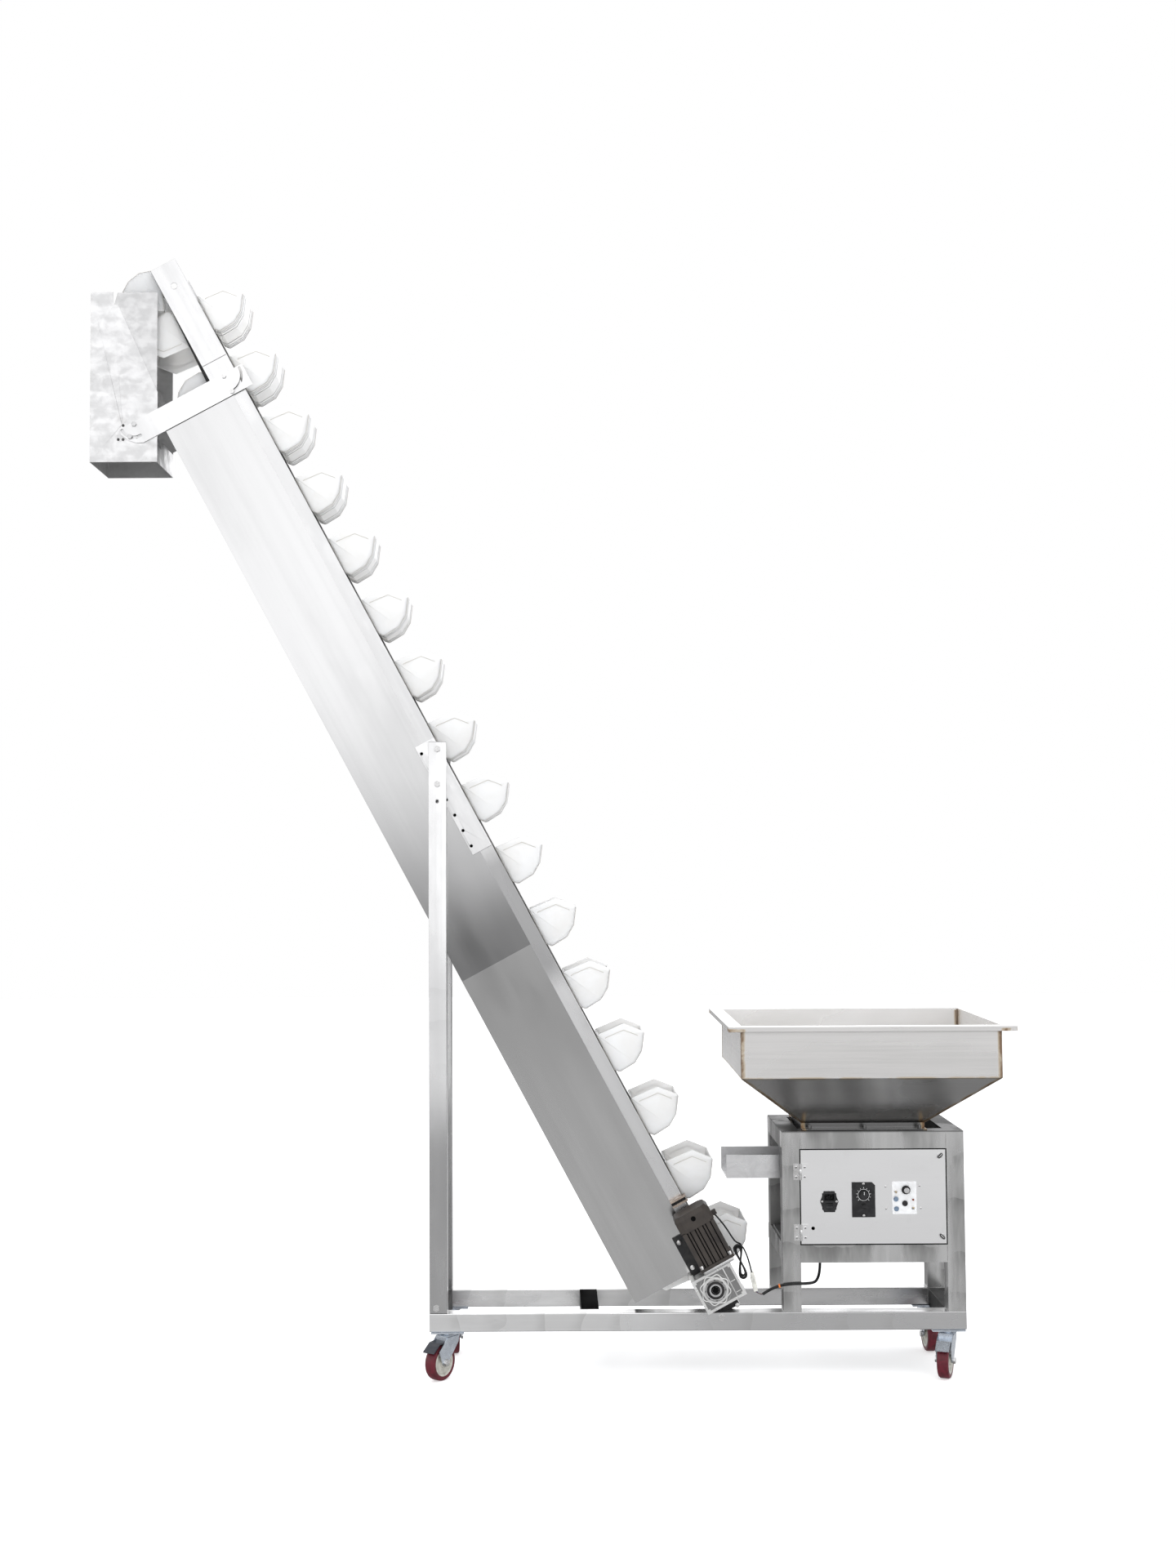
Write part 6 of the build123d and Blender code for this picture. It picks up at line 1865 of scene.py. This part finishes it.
@dataclass(frozen=True)
class Seams(Assembly):
    """Weld beads of the hopper, head rails and frame, and the small closing pieces of the frame.

    An open end is its X, the way into the tube along X, and its height.
    """

    middle: float = 1227.0
    half_length: float = 360.0
    half_width: float = 289.0
    box_low: float = 840.0
    box_high: float = 970.0
    rim: float = 982.0
    neck_length: float = 175.0
    neck_width: float = 120.0
    neck_top: float = 696.0
    wall: float = 2.0
    head_joint: float = 3001.5
    rail_half: float = 38.5
    rail_y: float = 118.6
    stand_y: float = 174.7
    stand_x: tuple[float, ...] = (990.0, 1040.0, 1450.0)
    stand_z: tuple[float, ...] = (316.0, 630.0)
    base_x: tuple[float, ...] = (50.0, 990.0, 1040.0, 1450.0)
    base_z: float = 180.4
    tube_y: float = 150.0
    open_ends: tuple[tuple[float, int, float], ...] = (
        (0.0, 1, 155.0), (1500.0, -1, 155.0), (990.0, 1, 655.0), (1500.0, -1, 655.0))
    end_half: float = 22.7
    end_thick: float = 1.6
    leg_x: float = 25.0
    bracket_bolt: float = 1606.7
    bracket_out: float = -13.3
    leg_above: float = 120.0
    strip_outline: Pairs = (
        (2945.0, -38.2), (2945.0, -50.0), (3190.0, -40.6), (3190.0, -38.2))
    strip_sides: Pair = (-118.8, 117.3)
    hole_step: float = 50.0
    hole_y: float = 120.3

    @staticmethod
    def bead(draft: Draft, start: Sequence[float], end: Sequence[float], radius: float) -> None:
        """Adds a weld bead: a thin bar whose radius swells as 0.86 + 0.22 * |sin| along its length.

        Args:
            draft: Where it goes.
            start: One end of its line.
            end: The other end.
            radius: Its usual radius.
        """
        start, end = np.array(start, float), np.array(end, float)
        length = float(np.linalg.norm(end - start))
        t = np.linspace(0, 1, max(int(length / 2.4), 6))
        swell = radius * (0.86 + 0.22 * np.abs(np.sin(t * length / 5.5 * math.pi)))
        draft.along(start + t[:, None] * (end - start), swell, 8)

    def hopper_welds(self) -> None:
        """Beads down the corners of the hopper's box and taper, outside and inside."""
        draft = Draft()
        inside = self.wall + 0.6
        for side in SIDES:
            for end in SIDES:
                x, y = self.middle + side * (self.half_length - 0.6), end * (self.half_width - 0.6)
                neck_x, neck_y = self.middle + side * (self.neck_length - 0.4), end * (self.neck_width - 0.4)
                self.bead(draft, (x, y, self.box_low), (x, y, self.box_high), 1.3)
                self.bead(draft, (x, y, self.box_low), (neck_x, neck_y, self.neck_top), 1.3)
                x, y = x - side * inside, y - end * inside
                self.bead(draft, (x, y, self.box_low + 2), (x, y, self.rim), 1.6)
        self.piece(draft, "hopper_welds", "frame", "hopper_steel", "weld bead")

    def frame_welds(self) -> None:
        """Beads across the head rails, up the stand's corners and along the base's cross tubes."""
        draft = Draft()
        for side in SIDES:
            y = side * self.rail_y
            self.bead(draft, BELT.place(self.head_joint, -self.rail_half, y),
                      BELT.place(self.head_joint, self.rail_half, y), 1.3)
            for x in self.stand_x:
                for z in self.stand_z:
                    y = side * self.stand_y
                    self.bead(draft, (x, y, z + 3), (x, y, z + 47), 0.9)
            for x in self.base_x:
                self.bead(draft, (x, side * 173.5, self.base_z), (x, side * 127.0, self.base_z), 1.0)
        self.piece(draft, "frame_welds", "frame", "tube_steel", "weld and ring shade grey")

    def tube_ends(self) -> None:
        """Plates that close the open ends of the base, stand and leg tubes."""
        draft = Draft()
        half = self.end_half
        plate = np.array([(-half, -half), (half, -half), (half, half), (-half, half)])
        leg_top = float(BELT.place(self.bracket_bolt, self.bracket_out, 0.0)[2]) + self.leg_above
        for side in SIDES:
            y = side * self.tube_y
            for x, way, z in self.open_ends:
                draft.prism(plate, (x + 0.4 * way, y, z), axes_for((way, 0.0, 0.0)), self.end_thick)
            draft.prism(plate, (self.leg_x, y, leg_top - 2.0), axes_for((0.0, 0.0, 1.0)), self.end_thick)
        self.piece(draft, "tube_ends", "frame", "tube_steel", "tube along")

    def head_dark_strips(self) -> None:
        """Dark wedge-shaped strips beside the head rails."""
        draft = Draft()
        axes = (BELT.up, BELT.out, -FRONT)
        for y in self.strip_sides:
            draft.prism(np.array(self.strip_outline), (BELT.tail_x, y, BELT.tail_z), axes, 1.5)
        self.piece(draft, "head_dark_strips", "frame", "pad_rubber", "pad rubber and painted shade")

    def bracket_holes(self) -> None:
        """Painted shade: dark floors of the seven holes in each bracket."""
        draft = Draft()
        for side in SIDES:
            for k in range(7):
                up = self.bracket_bolt + (k - 4) * self.hole_step
                spot = BELT.place(up, self.bracket_out, side * self.hole_y)
                draft.prism(circle(4.45, 20), spot, axes_for((0.0, side, 0.0)), 1.2)
        self.piece(draft, "bracket_hole_shade", "frame", "pad_rubber", "black and painted shade")

    def build(self) -> None:
        """Lays every bead and closes what is open."""
        self.hopper_welds()
        self.frame_welds()
        self.tube_ends()
        self.head_dark_strips()
        self.bracket_holes()
        LOG.info("seams: hopper and frame")


NODE_FINISHES: dict[str, str] = {
    "base_side_rails": "base tube", "base_cross_rails": "tube across", "caster_plates": "zinc",
    "prop_legs": "leg tube", "incline_brackets": "bracket sheet", "frame_fasteners": "bolt bright",
    "side_rails": "rail sheet", "tail_rails": "rail sheet", "rail_flanges": "flange warm",
    "flange_pads": "pad rubber and painted shade", "chain_guides": "guide plastic", "casing_lower": "casing sheet",
    "casing_upper": "casing upper", "tail_side_plates": "black oxide", "shaft_supports": "cast aluminium",
    "carry_chains": "chain steel", "return_chains": "chain steel", "head_sprockets": "chain steel",
    "drive_shaft": "shaft bright", "gearbox_housing": "cast aluminium", "drive_motor": "motor paint",
    "chute_shell": "chute sheet", "chute_hardware": "chute plate", "chute_arms": "arm sheet",
    "stand_frame": "tube upright", "hopper": "hopper sheet", "feeder_tray": "tray sheet",
    "feeder_drive": "black oxide", "control_box": "box sheet", "door_hinges": "bolt bright",
    "door_panel": "door sheet", "door_latch_upper": "bolt bright", "door_latch_lower": "bolt bright",
    "power_inlet": "control black", "inlet_rocker": "knob black", "speed_controller": "control black",
    "speed_knob": "knob black", "run_switch": "knob black", "feeder_panel": "panel white",
    "output_knob": "knob black", "feeder_power_switch": "brass", "feeder_mode_switch": "brass",
    "brake_pedal_front_left": "pedal dark", "brake_pedal_front_right": "zinc",
    "caster_fork_front_left": "zinc", "caster_fork_front_right": "zinc", "caster_fork_rear_left": "zinc",
    "caster_fork_rear_right": "zinc",
}

SOFT_EDGES: dict[str, float] = {
    "base_side_rails": 2.4, "base_cross_rails": 2.4, "prop_legs": 2.4, "hopper": 0.8,
    "drive_motor": 1.2, "gearbox_housing": 0.9, "control_box": 0.5, "chute_shell": 0.6, "chute_arms": 0.5,
    "side_rails": 1.0, "tail_rails": 1.0, "feeder_tray": 0.6, "feeder_drive": 0.8, "door_panel": 0.4,
    "power_inlet": 0.5, "speed_controller": 0.5, "feeder_panel": 0.5, "speed_knob": 0.4, "output_knob": 0.4,
    "caster_plates": 0.6, "tail_side_plates": 0.5, "incline_brackets": 0.5, "frame_fasteners": 0.5,
}


def soften(thing: bpy.types.Object, width: float) -> None:
    """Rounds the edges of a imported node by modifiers, its mesh left as it is.

    Args:
        thing: The node's object.
        width: Size of the rounded edge in millimetres.
    """
    weld = thing.modifiers.new("join", "WELD")
    weld.merge_threshold = MM / 100
    edge = thing.modifiers.new("edges", "BEVEL")
    edge.width = width * MM
    edge.segments = 2
    edge.limit_method = "ANGLE"
    edge.angle_limit = math.radians(40)


def dress_nodes(frame: dict[str, Any], finishes: Finishes) -> None:
    """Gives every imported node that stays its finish, and some of them rounded edges.

    Args:
        frame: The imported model.
        finishes: All finishes.
    """
    for name, finish in NODE_FINISHES.items():
        finishes.dress(frame["nodes"][name], finish)
        if name in SOFT_EDGES:
            soften(frame["nodes"][name], SOFT_EDGES[name])
    LOG.info("packed nodes dressed: %d", len(NODE_FINISHES))


def main() -> None:
    """Builds every sub-assembly in order."""
    logging.basicConfig(level=logging.INFO, format="%(name)s: %(message)s")
    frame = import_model()
    finishes = Finishes()
    finishes.build()
    Studio().build()
    for assembly in (Leads, Buckets, Casters, GearMotor, DoorParts, Seams):
        assembly(finishes).build()
    dress_nodes(frame, finishes)
    bpy.context.view_layer.update()


if __name__ == "__main__":
    main()
